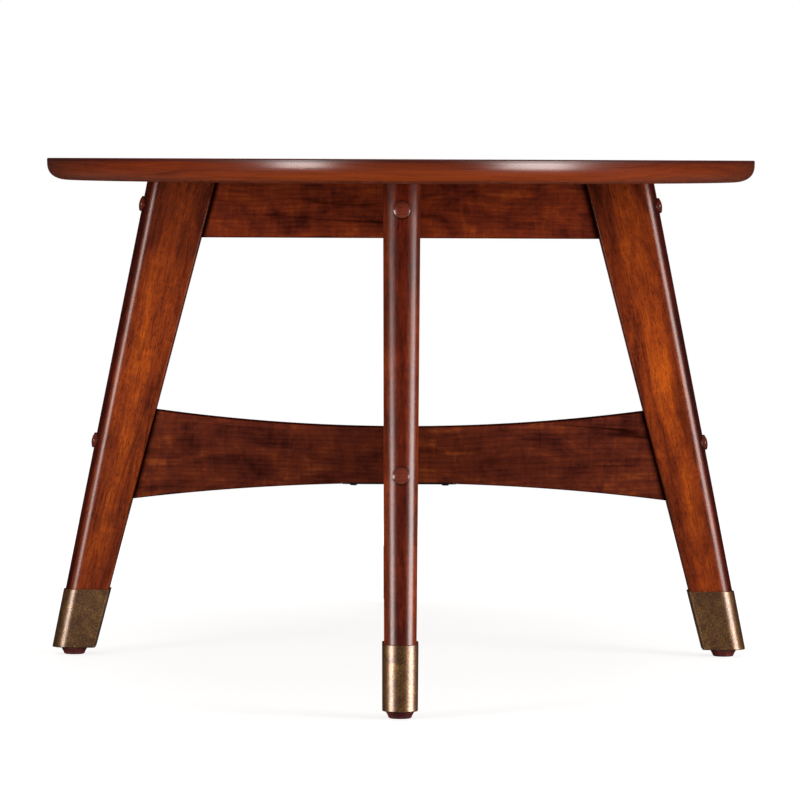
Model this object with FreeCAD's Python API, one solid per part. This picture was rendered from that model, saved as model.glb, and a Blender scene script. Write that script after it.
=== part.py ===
import FreeCAD, Part
import math
import os

from FreeCAD import Placement, Rotation, Vector

# Oval coffee table. An oval top stands on four splayed legs. Crossed aprons join the legs under the
# top, and crossed, waisted stretchers join them lower down. Bolts run in through the legs' outer
# edges, behind domed buttons. Each leg ends in a brass cup over a screw-in levelling glide.
# Millimetres. X is the width, Y the length and +Z up. The origin is on the floor under the middle.

# Top
TABLE_HEIGHT = 432.0
TOP_LENGTH = 1219.0
TOP_WIDTH = 610.0
TOP_THICKNESS = 18.5
TOP_EDGE_ROUND = 2.5
RIM_ROUND_HEIGHT = 10.5
RIM_ROUND_DEPTH = 16.0
RIM_LEAST_FLAT = 1.0
RIM_SECTIONS = 9

# Legs: widths lie along the leg's reach from the middle of the table, thicknesses across it
SIDE_FOOT_INSET = 3.0
END_FOOT_INSET = 57.5
LEG_SPLAY_WIDTH = 82.0
LEG_TOP_WIDTH = 60.0
LEG_FOOT_WIDTH = 34.5
LEG_TOP_THICKNESS = 29.6
LEG_FOOT_THICKNESS = 24.6
LEG_OUTER_ROUND = 11.5
LEG_INNER_ROUND = 2.0
LEG_LEAST_FLAT = 1.0

# Aprons under the top
APRON_HEIGHT = 50.0
APRON_THICKNESS = 20.0

# Stretchers: their middle line is the level line half way up them
STRETCHER_MID_LINE_HEIGHT = 175.0
STRETCHER_MID_HEIGHT = 49.0
STRETCHER_END_HEIGHT = 77.5
STRETCHER_THICKNESS = 20.0

# Shared by both pairs of boards
BOARD_EDGE_ROUND = 1.5
LAP_CLEARANCE = 0.15

# Bolts through the legs into threaded inserts in the board ends
BOLT_DIAMETER = 6.0
BOLT_HOLE_CLEARANCE = 0.3
BOLT_TIP_GAP = 1.0
BOLT_HEAD_DIAMETER = 10.0
BOLT_HEAD_HEIGHT = 6.0
BOLT_SOCKET_WIDTH = 5.0
BOLT_SOCKET_DEPTH = 3.0
APRON_BOLT_DROP = 7.0
STRETCHER_BOLT_RISE = 3.0
WASHER_DIAMETER = 12.0
WASHER_THICKNESS = 1.2
INSERT_DIAMETER = 10.0
INSERT_LENGTH = 18.0
INSERT_RECESS = 0.5
INSERT_CLEARANCE = 0.05
THREAD_CLEARANCE = 0.05

# Domed buttons over the bolt heads
BUTTON_DIAMETER = 13.4
BUTTON_CLEARANCE = 0.1
BUTTON_STEM = 9.5
BUTTON_STEM_CHAMFER = 0.6
BUTTON_RISE = 1.5
BUTTON_DOME = 1.7
BUTTON_EDGE_ROUND = 1.0
BUTTON_GAP = 0.8

# Dowels beside the bolts
DOWEL_DIAMETER = 8.0
DOWEL_LENGTH = 30.0
DOWEL_CHAMFER = 1.0
DOWEL_CLEARANCE = 0.05
DOWEL_END_GAP = 0.5
APRON_DOWEL_RISE = 9.0
STRETCHER_DOWEL_EDGE = 14.0

# Screws up through the aprons into inserts in the top, counted on each side of the crossing
TOP_SCREW_DIAMETER = 6.0
TOP_SCREW_HEAD_DIAMETER = 11.0
TOP_SCREW_HEAD_HEIGHT = 3.5
TOP_SCREW_SOCKET_WIDTH = 4.0
TOP_SCREW_SOCKET_DEPTH = 2.2
TOP_SCREW_GRIP = 24.0
TOP_SCREW_HEAD_CLEARANCE = 0.6
TOP_SCREW_HOLE_CLEARANCE = 0.3
TOP_INSERT_COVER = 6.5
CROSS_APRON_SCREWS = 1
LONG_APRON_SCREWS = 2

# Plate under the crossing of the stretchers
PLATE_LENGTH = 100.0
PLATE_WIDTH = 18.0
PLATE_THICKNESS = 1.3
PLATE_CORNER_ROUND = 4.0
PLATE_SEAT_MARGIN = 1.0
PLATE_SEAT_DEPTH = 0.3
PLATE_SCREW_EDGE = 10.0
PLATE_SCREW_DIAMETER = 3.5
PLATE_SCREW_LENGTH = 16.0
PLATE_SCREW_HEAD_DIAMETER = 6.4
PLATE_SCREW_HEAD_HEIGHT = 1.4
PLATE_SCREW_HEAD_ROUND = 0.9
PLATE_SCREW_SLOT_LENGTH = 3.6
PLATE_SCREW_SLOT_WIDTH = 0.9
PLATE_SCREW_SLOT_DEPTH = 0.8
PLATE_HOLE_CLEARANCE = 0.3

# Brass cups on the leg ends
FERRULE_HEIGHT = 51.0
FERRULE_WALL = 1.2
FERRULE_CLEARANCE = 0.3
FERRULE_EDGE_ROUND = 0.5

# Levelling glides: the travel is how far they screw out from fully home
GLIDE_HEIGHT = 6.2
GLIDE_TOP_DIAMETER = 22.0
GLIDE_WAIST_DIAMETER = 20.0
GLIDE_EDGE_ROUND = 2.75
LEVELER_TRAVEL = 10.0
LEVELER_INSERT_LENGTH = 14.0
STUD_DIAMETER = 6.0
STUD_HEAD_DIAMETER = 12.0
STUD_HEAD_HEIGHT = 2.2
STUD_HEAD_CLEARANCE = 0.05
STUD_HOLE_CLEARANCE = 0.8
STUD_TIP_CHAMFER = 0.8
STUD_TIP_GAP = 2.0

# How far a cutting tool runs past the face it enters by
CUT_OVERRUN = 5.0

# Levels and directions that follow from the sizes above
UNDERSIDE = TABLE_HEIGHT - TOP_THICKNESS
APRON_MID_LINE_HEIGHT = UNDERSIDE - APRON_HEIGHT / 2
STRETCHER_BOTTOM = STRETCHER_MID_LINE_HEIGHT - STRETCHER_MID_HEIGHT / 2
PLATE_SEAT = STRETCHER_BOTTOM + PLATE_SEAT_DEPTH
LEG_END = GLIDE_HEIGHT + FERRULE_WALL
FERRULE_TOP = GLIDE_HEIGHT + FERRULE_HEIGHT
SPLAY_ANGLE = math.atan2(LEG_SPLAY_WIDTH, UNDERSIDE)
UP = Vector(0, 0, 1)
OUTWARD = Vector(math.cos(SPLAY_ANGLE), 0, math.sin(SPLAY_ANGLE))
INWARD = OUTWARD * -1
COUNTERBORE_DEPTH = BUTTON_STEM + BUTTON_GAP + BOLT_HEAD_HEIGHT + WASHER_THICKNESS

# Each leg is built along +X and turned to its side of the table
SIDE_REACH = TOP_WIDTH / 2 - SIDE_FOOT_INSET
END_REACH = TOP_LENGTH / 2 - END_FOOT_INSET
LEG_SIDES = {
    "right": (0, SIDE_REACH),
    "back": (90, END_REACH),
    "left": (180, SIDE_REACH),
    "front": (270, END_REACH),
}
CROSS_DEGREES = 0
LONG_DEGREES = 90


def turned(shape, degrees):
    """A copy of the shape, turned about the table's upright middle line."""
    copy = shape.copy()
    copy.rotate(Vector(), UP, degrees)
    return copy


def placed(shape, start, direction):
    """A copy of a shape that was built along +Z, moved to start and pointed along direction."""
    copy = shape.copy()
    copy.Placement = Placement(start, Rotation(UP, direction))
    return copy


def rod(diameter, start, direction, length):
    """A plain cylinder."""
    return Part.makeCylinder(diameter / 2, length, start, direction)


def tube(outer_diameter, inner_diameter, length):
    """A plain sleeve along +Z from the origin."""
    outside = rod(outer_diameter, Vector(), UP, length)
    return outside.cut(rod(inner_diameter, Vector(), UP, length))


def hexagon(width, depth):
    """A hexagonal prism along +Z, for a socket with that width across its flats."""
    radius = width / math.sqrt(3)
    points = [Vector(radius, 0, 0)]
    for corner in range(1, 7):
        angle = math.radians(60 * corner)
        points.append(Vector(radius * math.cos(angle), radius * math.sin(angle), 0))
    return Part.Face(Part.makePolygon(points)).extrude(UP * depth)


def edges_at_level(shape, level):
    """The edges that lie wholly at one height."""
    tolerance = 1e-4
    found = []
    for edge in shape.Edges:
        box = edge.BoundBox
        if abs(box.ZMin - level) < tolerance and abs(box.ZMax - level) < tolerance:
            found.append(edge)
    return found


def between(foot_size, top_size, z):
    """A leg size at height z, on the straight taper from the floor to the top's underside."""
    return foot_size + (top_size - foot_size) * z / UNDERSIDE


def leg_width(z):
    return between(LEG_FOOT_WIDTH, LEG_TOP_WIDTH, z)


def leg_outer(reach, z):
    return reach - LEG_SPLAY_WIDTH * z / UNDERSIDE


def leg_inner(reach, z):
    return leg_outer(reach, z) - leg_width(z)


def board_end(reach, z):
    """The middle of the leg's inner edge at height z, where a board butts against it."""
    return Vector(leg_inner(reach, z), 0, z)


def bolt_crown(reach, z):
    """Where the line square to the leg's outer edge, through the board end at z, leaves the leg."""
    return board_end(reach, z) + OUTWARD * (leg_width(z) * math.cos(SPLAY_ANGLE))


def foot_middle(reach, z):
    """The upright line through the middle of the leg's end, at height z."""
    return Vector((leg_inner(reach, LEG_END) + leg_outer(reach, LEG_END)) / 2, 0, z)


# Heights at the leg's inner edge of the bolts and dowels
APRON_BOLT_Z = APRON_MID_LINE_HEIGHT - APRON_BOLT_DROP
STRETCHER_BOLT_Z = STRETCHER_MID_LINE_HEIGHT + STRETCHER_BOLT_RISE
STRETCHER_DOWEL_OFFSET = STRETCHER_END_HEIGHT / 2 - STRETCHER_DOWEL_EDGE
APRON_DOWEL_ZS = [APRON_MID_LINE_HEIGHT + APRON_DOWEL_RISE]
STRETCHER_DOWEL_ZS = [
    STRETCHER_MID_LINE_HEIGHT - STRETCHER_DOWEL_OFFSET,
    STRETCHER_MID_LINE_HEIGHT + STRETCHER_DOWEL_OFFSET,
]


def rounded_rectangle(corners, z):
    """A wire round four (x, y, radius) corners, each a right angle."""
    count = len(corners)
    starts = []
    middles = []
    ends = []
    for index, (x, y, radius) in enumerate(corners):
        corner = Vector(x, y, z)
        before = Vector(*corners[index - 1][:2], z)
        after = Vector(*corners[(index + 1) % count][:2], z)
        to_before = (before - corner).normalize()
        to_after = (after - corner).normalize()
        starts.append(corner + to_before * radius)
        ends.append(corner + to_after * radius)
        middles.append(corner + (to_before + to_after) * (radius * (1 - math.sqrt(0.5))))
    edges = []
    for index in range(count):
        edges.append(Part.Arc(starts[index], middles[index], ends[index]).toShape())
        edges.append(Part.LineSegment(ends[index], starts[(index + 1) % count]).toShape())
    return Part.Wire(edges)


def leg_section(reach, z, grow=0.0):
    """The leg's outline at height z, grown all round for the cup that goes over it."""
    inner = leg_inner(reach, z) - grow
    outer = leg_outer(reach, z) + grow
    half = between(LEG_FOOT_THICKNESS, LEG_TOP_THICKNESS, z) / 2 + grow
    outer_round = min(LEG_OUTER_ROUND + grow, half - LEG_LEAST_FLAT / 2)
    inner_round = LEG_INNER_ROUND + grow
    corners = [
        (inner, -half, inner_round),
        (outer, -half, outer_round),
        (outer, half, outer_round),
        (inner, half, inner_round),
    ]
    return rounded_rectangle(corners, z)


def leg_prism(reach, low, high, grow=0.0):
    """The tapering leg, or a grown copy of it, between two heights."""
    sections = [leg_section(reach, low, grow), leg_section(reach, high, grow)]
    return Part.makeLoft(sections, True, True)


def dowel_hole(reach, z, direction):
    """The tool for half a dowel's hole, from the joint face in that direction."""
    start = board_end(reach, z) - direction * CUT_OVERRUN
    length = CUT_OVERRUN + DOWEL_LENGTH / 2 + DOWEL_END_GAP
    return rod(DOWEL_DIAMETER + 2 * DOWEL_CLEARANCE, start, direction, length)


def make_leg(reach):
    leg = leg_prism(reach, LEG_END, UNDERSIDE)
    tools = []
    for z in (APRON_BOLT_Z, STRETCHER_BOLT_Z):
        crown = bolt_crown(reach, z)
        counterbore_start = crown + OUTWARD * CUT_OVERRUN
        counterbore_length = CUT_OVERRUN + COUNTERBORE_DEPTH
        counterbore_diameter = BUTTON_DIAMETER + 2 * BUTTON_CLEARANCE
        tools.append(rod(counterbore_diameter, counterbore_start, INWARD, counterbore_length))
        through = (board_end(reach, z) - crown).Length + CUT_OVERRUN
        tools.append(rod(BOLT_DIAMETER + 2 * BOLT_HOLE_CLEARANCE, crown, INWARD, through))
    for z in APRON_DOWEL_ZS + STRETCHER_DOWEL_ZS:
        tools.append(dowel_hole(reach, z, OUTWARD))
    insert_hole_start = foot_middle(reach, LEG_END - CUT_OVERRUN)
    insert_hole_length = CUT_OVERRUN + LEVELER_INSERT_LENGTH
    tools.append(rod(INSERT_DIAMETER + 2 * INSERT_CLEARANCE, insert_hole_start, UP, insert_hole_length))
    stud_hole_length = LEVELER_INSERT_LENGTH + LEVELER_TRAVEL + STUD_TIP_GAP
    stud_hole_diameter = STUD_DIAMETER + 2 * STUD_HOLE_CLEARANCE
    tools.append(rod(stud_hole_diameter, foot_middle(reach, LEG_END), UP, stud_hole_length))
    return leg.cut(tools)


def make_ferrule(reach):
    """The brass cup: an open-topped sleeve with a floor, which the stud passes through."""
    cup = leg_prism(reach, GLIDE_HEIGHT, FERRULE_TOP, FERRULE_CLEARANCE + FERRULE_WALL)
    rims = edges_at_level(cup, GLIDE_HEIGHT) + edges_at_level(cup, FERRULE_TOP)
    cup = cup.makeFillet(FERRULE_EDGE_ROUND, rims)
    inside = leg_prism(reach, LEG_END, FERRULE_TOP + CUT_OVERRUN, FERRULE_CLEARANCE)
    stud_hole_start = foot_middle(reach, GLIDE_HEIGHT - CUT_OVERRUN)
    stud_hole_diameter = STUD_DIAMETER + 2 * STUD_HOLE_CLEARANCE
    stud_hole = rod(stud_hole_diameter, stud_hole_start, UP, 2 * CUT_OVERRUN + FERRULE_WALL)
    return cup.cut([inside, stud_hole])


def make_glide_foot(reach):
    """The round plastic foot, with a pocket in its top for the stud's head."""
    pocket_radius = STUD_HEAD_DIAMETER / 2 + STUD_HEAD_CLEARANCE
    pocket_floor = GLIDE_HEIGHT - STUD_HEAD_HEIGHT
    waist = GLIDE_WAIST_DIAMETER / 2
    floor_radius = waist - GLIDE_EDGE_ROUND
    corner = GLIDE_EDGE_ROUND * math.sqrt(0.5)
    edge_start = Vector(floor_radius, 0, 0)
    edge_middle = Vector(floor_radius + corner, 0, GLIDE_EDGE_ROUND - corner)
    edge_end = Vector(waist, 0, GLIDE_EDGE_ROUND)
    edge = Part.Arc(edge_start, edge_middle, edge_end).toShape()
    outline = [
        edge_end,
        Vector(GLIDE_TOP_DIAMETER / 2, 0, GLIDE_HEIGHT),
        Vector(pocket_radius, 0, GLIDE_HEIGHT),
        Vector(pocket_radius, 0, pocket_floor),
        Vector(0, 0, pocket_floor),
        Vector(0, 0, 0),
        edge_start,
    ]
    profile = Part.Wire([edge] + Part.makePolygon(outline).Edges)
    foot = Part.Face(profile).revolve(Vector(), UP, 360)
    return placed(foot, foot_middle(reach, 0), UP)


def make_glide_stud(reach):
    """The threaded stud, with the flat head that is moulded into the foot."""
    head = rod(STUD_HEAD_DIAMETER, Vector(), UP, STUD_HEAD_HEIGHT)
    length = STUD_HEAD_HEIGHT + FERRULE_WALL + LEVELER_INSERT_LENGTH + LEVELER_TRAVEL
    shank = rod(STUD_DIAMETER, Vector(), UP, length)
    shank = shank.makeChamfer(STUD_TIP_CHAMFER, edges_at_level(shank, length))
    stud = head.fuse(shank).removeSplitter()
    return placed(stud, foot_middle(reach, GLIDE_HEIGHT - STUD_HEAD_HEIGHT), UP)


def make_leveler_insert(reach):
    sleeve = tube(INSERT_DIAMETER, STUD_DIAMETER + 2 * THREAD_CLEARANCE, LEVELER_INSERT_LENGTH)
    return placed(sleeve, foot_middle(reach, LEG_END), UP)


def make_button(reach, z):
    """A domed button: its stem fills the counterbore and its head stands out of the leg's edge."""
    radius = BUTTON_DIAMETER / 2
    shoulder = BUTTON_STEM + BUTTON_RISE
    dome_radius = (radius ** 2 + BUTTON_DOME ** 2) / (2 * BUTTON_DOME)
    half_angle = math.asin(radius / dome_radius) / 2
    dome_center = shoulder + BUTTON_DOME - dome_radius
    dome_middle = Vector(
        dome_radius * math.sin(half_angle), 0, dome_center + dome_radius * math.cos(half_angle)
    )
    shoulder_point = Vector(radius, 0, shoulder)
    crest = Vector(0, 0, shoulder + BUTTON_DOME)
    dome = Part.Arc(shoulder_point, dome_middle, crest).toShape()
    outline = [
        crest,
        Vector(0, 0, 0),
        Vector(radius - BUTTON_STEM_CHAMFER, 0, 0),
        Vector(radius, 0, BUTTON_STEM_CHAMFER),
        shoulder_point,
    ]
    profile = Part.Wire([dome] + Part.makePolygon(outline).Edges)
    button = Part.Face(profile).revolve(Vector(), UP, 360)
    button = button.makeFillet(BUTTON_EDGE_ROUND, edges_at_level(button, shoulder))
    return placed(button, bolt_crown(reach, z) + INWARD * BUTTON_STEM, OUTWARD)


def make_bolt(reach, z):
    """A socket-head bolt from its washer in the counterbore into the board's insert."""
    crown = bolt_crown(reach, z)
    seat_depth = COUNTERBORE_DEPTH - WASHER_THICKNESS
    insert_end = (board_end(reach, z) - crown).Length + INSERT_RECESS + INSERT_LENGTH
    head = rod(BOLT_HEAD_DIAMETER, Vector(0, 0, -BOLT_HEAD_HEIGHT), UP, BOLT_HEAD_HEIGHT)
    socket = hexagon(BOLT_SOCKET_WIDTH, BOLT_SOCKET_DEPTH)
    socket.translate(Vector(0, 0, -BOLT_HEAD_HEIGHT))
    shank = rod(BOLT_DIAMETER, Vector(), UP, insert_end - seat_depth - BOLT_TIP_GAP)
    bolt = head.cut(socket).fuse(shank).removeSplitter()
    return placed(bolt, crown + INWARD * seat_depth, INWARD)


def make_washer(reach, z):
    washer = tube(WASHER_DIAMETER, BOLT_DIAMETER + 2 * BOLT_HOLE_CLEARANCE, WASHER_THICKNESS)
    seat = bolt_crown(reach, z) + INWARD * (COUNTERBORE_DEPTH - WASHER_THICKNESS)
    return placed(washer, seat, INWARD)


def make_board_insert(reach, z):
    sleeve = tube(INSERT_DIAMETER, BOLT_DIAMETER + 2 * THREAD_CLEARANCE, INSERT_LENGTH)
    return placed(sleeve, board_end(reach, z) + INWARD * INSERT_RECESS, INWARD)


def make_dowel(reach, z):
    dowel = rod(DOWEL_DIAMETER, Vector(), UP, DOWEL_LENGTH)
    ends = edges_at_level(dowel, 0) + edges_at_level(dowel, DOWEL_LENGTH)
    dowel = dowel.makeChamfer(DOWEL_CHAMFER, ends)
    return placed(dowel, board_end(reach, z) + OUTWARD * (DOWEL_LENGTH / 2), INWARD)


def board_from_outline(edges, thickness):
    """A board from its closed outline in the XZ plane, centred across its thickness."""
    face = Part.Face(Part.Wire(edges))
    face.translate(Vector(0, -thickness / 2, 0))
    return face.extrude(Vector(0, thickness, 0))


def spline_arc(start, middle, end):
    """A long shallow arc held as a spline, along which an edge rounds cleanly."""
    return Part.Arc(start, middle, end).toBSpline().toShape()


def face_edges_at(board, x, z, thickness):
    """The edges round a board's two broad faces that pass through the point x, z."""
    tolerance = 1e-4
    found = []
    for side in (-1, 1):
        vertex = Part.Vertex(Vector(x, side * thickness / 2, z))
        found.extend(edge for edge in board.Edges if edge.distToShape(vertex)[0] < tolerance)
    return found


def lap_notch(thickness, low, high):
    """The tool for a half lap that takes a crossing board of that thickness."""
    width = thickness + 2 * LAP_CLEARANCE
    corner = Vector(-width / 2, -thickness / 2 - CUT_OVERRUN, low)
    return Part.makeBox(width, thickness + 2 * CUT_OVERRUN, high - low, corner)


def end_holes(reach, bolt_z, dowel_zs):
    """The tools for the insert's and the dowels' holes, at both ends of a board."""
    start = board_end(reach, bolt_z) + OUTWARD * CUT_OVERRUN
    length = CUT_OVERRUN + INSERT_RECESS + INSERT_LENGTH
    tools = [rod(INSERT_DIAMETER + 2 * INSERT_CLEARANCE, start, INWARD, length)]
    for z in dowel_zs:
        tools.append(dowel_hole(reach, z, INWARD))
    return tools + [turned(tool, 180) for tool in tools]


def top_screw_places(reach, per_side):
    """Even steps along an apron from the crossing to each leg."""
    crossing = APRON_THICKNESS / 2
    step = (leg_inner(reach, APRON_MID_LINE_HEIGHT) - crossing) / (per_side + 1)
    places = []
    for index in range(per_side):
        offset = crossing + step * (index + 1)
        places.extend([offset, -offset])
    return places


def make_apron(reach, screws_per_side, lap_low, lap_high):
    bottom = UNDERSIDE - APRON_HEIGHT
    low_end = leg_inner(reach, bottom)
    high_end = leg_inner(reach, UNDERSIDE)
    outline = [
        Vector(-low_end, 0, bottom),
        Vector(low_end, 0, bottom),
        Vector(high_end, 0, UNDERSIDE),
        Vector(-high_end, 0, UNDERSIDE),
        Vector(-low_end, 0, bottom),
    ]
    board = board_from_outline(Part.makePolygon(outline).Edges, APRON_THICKNESS)
    board = board.makeFillet(BOARD_EDGE_ROUND, face_edges_at(board, 0, bottom, APRON_THICKNESS))
    tools = end_holes(reach, APRON_BOLT_Z, APRON_DOWEL_ZS)
    tools.append(lap_notch(APRON_THICKNESS, lap_low, lap_high))
    head_diameter = TOP_SCREW_HEAD_DIAMETER + 2 * TOP_SCREW_HEAD_CLEARANCE
    shank_diameter = TOP_SCREW_DIAMETER + 2 * TOP_SCREW_HOLE_CLEARANCE
    counterbore_length = CUT_OVERRUN + APRON_HEIGHT - TOP_SCREW_GRIP
    for x in top_screw_places(reach, screws_per_side):
        start = Vector(x, 0, bottom - CUT_OVERRUN)
        tools.append(rod(head_diameter, start, UP, counterbore_length))
        tools.append(rod(shank_diameter, start, UP, APRON_HEIGHT + 2 * CUT_OVERRUN))
    return board.cut(tools)


def make_stretcher(reach, lap_low, lap_high):
    """A board whose upper and lower edges both draw in towards its middle."""
    low = STRETCHER_MID_LINE_HEIGHT - STRETCHER_END_HEIGHT / 2
    high = STRETCHER_MID_LINE_HEIGHT + STRETCHER_END_HEIGHT / 2
    mid_top = STRETCHER_MID_LINE_HEIGHT + STRETCHER_MID_HEIGHT / 2
    low_left = Vector(-leg_inner(reach, low), 0, low)
    low_right = Vector(leg_inner(reach, low), 0, low)
    high_left = Vector(-leg_inner(reach, high), 0, high)
    high_right = Vector(leg_inner(reach, high), 0, high)
    edges = [
        spline_arc(low_left, Vector(0, 0, STRETCHER_BOTTOM), low_right),
        Part.LineSegment(low_right, high_right).toShape(),
        spline_arc(high_right, Vector(0, 0, mid_top), high_left),
        Part.LineSegment(high_left, low_left).toShape(),
    ]
    board = board_from_outline(edges, STRETCHER_THICKNESS)
    long_edges = face_edges_at(board, 0, STRETCHER_BOTTOM, STRETCHER_THICKNESS)
    long_edges += face_edges_at(board, 0, mid_top, STRETCHER_THICKNESS)
    board = board.makeFillet(BOARD_EDGE_ROUND, long_edges)
    tools = end_holes(reach, STRETCHER_BOLT_Z, STRETCHER_DOWEL_ZS)
    tools.append(lap_notch(STRETCHER_THICKNESS, lap_low, lap_high))
    seat_length = PLATE_LENGTH + 2 * PLATE_SEAT_MARGIN
    seat_width = STRETCHER_THICKNESS + 2 * CUT_OVERRUN
    seat_corner = Vector(-seat_length / 2, -seat_width / 2, low - CUT_OVERRUN)
    tools.append(Part.makeBox(seat_length, seat_width, PLATE_SEAT - seat_corner.z, seat_corner))
    pilot_length = CUT_OVERRUN + PLATE_SCREW_LENGTH - PLATE_THICKNESS
    for x in plate_screw_places():
        start = Vector(x, 0, PLATE_SEAT - CUT_OVERRUN)
        tools.append(rod(PLATE_SCREW_DIAMETER + 2 * THREAD_CLEARANCE, start, UP, pilot_length))
    return board.cut(tools)


def plate_screw_places():
    offset = PLATE_LENGTH / 2 - PLATE_SCREW_EDGE
    return [-offset, offset]


def make_cross_plate():
    """A flat plus-shaped plate, with a screw hole near the end of each arm."""
    half_length = PLATE_LENGTH / 2
    half_width = PLATE_WIDTH / 2
    corners = [
        (-half_length, -half_width, PLATE_CORNER_ROUND),
        (half_length, -half_width, PLATE_CORNER_ROUND),
        (half_length, half_width, PLATE_CORNER_ROUND),
        (-half_length, half_width, PLATE_CORNER_ROUND),
    ]
    outline = rounded_rectangle(corners, PLATE_SEAT - PLATE_THICKNESS)
    arm = Part.Face(outline).extrude(UP * PLATE_THICKNESS)
    tools = []
    for x in plate_screw_places():
        start = Vector(x, 0, PLATE_SEAT - PLATE_THICKNESS - CUT_OVERRUN)
        hole_diameter = PLATE_SCREW_DIAMETER + 2 * PLATE_HOLE_CLEARANCE
        tools.append(rod(hole_diameter, start, UP, PLATE_THICKNESS + 2 * CUT_OVERRUN))
    arm = arm.cut(tools)
    return arm.fuse(turned(arm, LONG_DEGREES)).removeSplitter()


def make_plate_screw(x):
    """A round-head screw with a cross slot, driven up through the plate at x."""
    head = rod(PLATE_SCREW_HEAD_DIAMETER, Vector(), UP * -1, PLATE_SCREW_HEAD_HEIGHT)
    head = head.makeFillet(PLATE_SCREW_HEAD_ROUND, edges_at_level(head, -PLATE_SCREW_HEAD_HEIGHT))
    length = PLATE_SCREW_SLOT_LENGTH
    width = PLATE_SCREW_SLOT_WIDTH
    slot_corner = Vector(-length / 2, -width / 2, -PLATE_SCREW_HEAD_HEIGHT)
    slot = Part.makeBox(length, width, PLATE_SCREW_SLOT_DEPTH, slot_corner)
    shank = rod(PLATE_SCREW_DIAMETER, Vector(), UP, PLATE_SCREW_LENGTH)
    screw = head.cut([slot, turned(slot, 90)]).fuse(shank).removeSplitter()
    return placed(screw, Vector(x, 0, PLATE_SEAT - PLATE_THICKNESS), UP)


def top_insert_length():
    return TOP_THICKNESS - TOP_INSERT_COVER


def make_top_insert(x):
    sleeve = tube(INSERT_DIAMETER, TOP_SCREW_DIAMETER + 2 * THREAD_CLEARANCE, top_insert_length())
    return placed(sleeve, Vector(x, 0, UNDERSIDE), UP)


def make_top_screw(x):
    """A button-head screw from its seat in the apron up into the top's insert."""
    head = rod(TOP_SCREW_HEAD_DIAMETER, Vector(), UP * -1, TOP_SCREW_HEAD_HEIGHT)
    socket = hexagon(TOP_SCREW_SOCKET_WIDTH, TOP_SCREW_SOCKET_DEPTH)
    socket.translate(Vector(0, 0, -TOP_SCREW_HEAD_HEIGHT))
    length = TOP_SCREW_GRIP + top_insert_length() - BOLT_TIP_GAP
    shank = rod(TOP_SCREW_DIAMETER, Vector(), UP, length)
    screw = head.cut(socket).fuse(shank).removeSplitter()
    return placed(screw, Vector(x, 0, UNDERSIDE - TOP_SCREW_GRIP), UP)


def oval(inset, z):
    """The top's outline, drawn in by inset, as one closed wire."""
    long_end = Vector(0, TOP_LENGTH / 2 - inset, z)
    short_end = Vector(TOP_WIDTH / 2 - inset, 0, z)
    return Part.Wire(Part.Ellipse(long_end, short_end, Vector(0, 0, z)).toShape())


def make_top(insert_places):
    """The oval top: a slab with a small upper round, over a rim that draws in underneath."""
    round_height = min(RIM_ROUND_HEIGHT, TOP_THICKNESS - TOP_EDGE_ROUND - RIM_LEAST_FLAT)
    slab_height = TOP_THICKNESS - round_height
    slab = Part.Face(oval(0, TABLE_HEIGHT - slab_height)).extrude(UP * slab_height)
    slab = slab.makeFillet(TOP_EDGE_ROUND, edges_at_level(slab, TABLE_HEIGHT))
    sections = []
    for index in range(RIM_SECTIONS):
        angle = math.pi / 2 * index / (RIM_SECTIONS - 1)
        inset = RIM_ROUND_DEPTH * (1 - math.sin(angle))
        sections.append(oval(inset, UNDERSIDE + round_height * (1 - math.cos(angle))))
    rim = Part.makeLoft(sections, True, False)
    hole_length = CUT_OVERRUN + top_insert_length()
    tools = []
    for place in insert_places:
        start = place - UP * CUT_OVERRUN
        tools.append(rod(INSERT_DIAMETER + 2 * INSERT_CLEARANCE, start, UP, hole_length))
    return slab.fuse(rim).removeSplitter().cut(tools)


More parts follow.
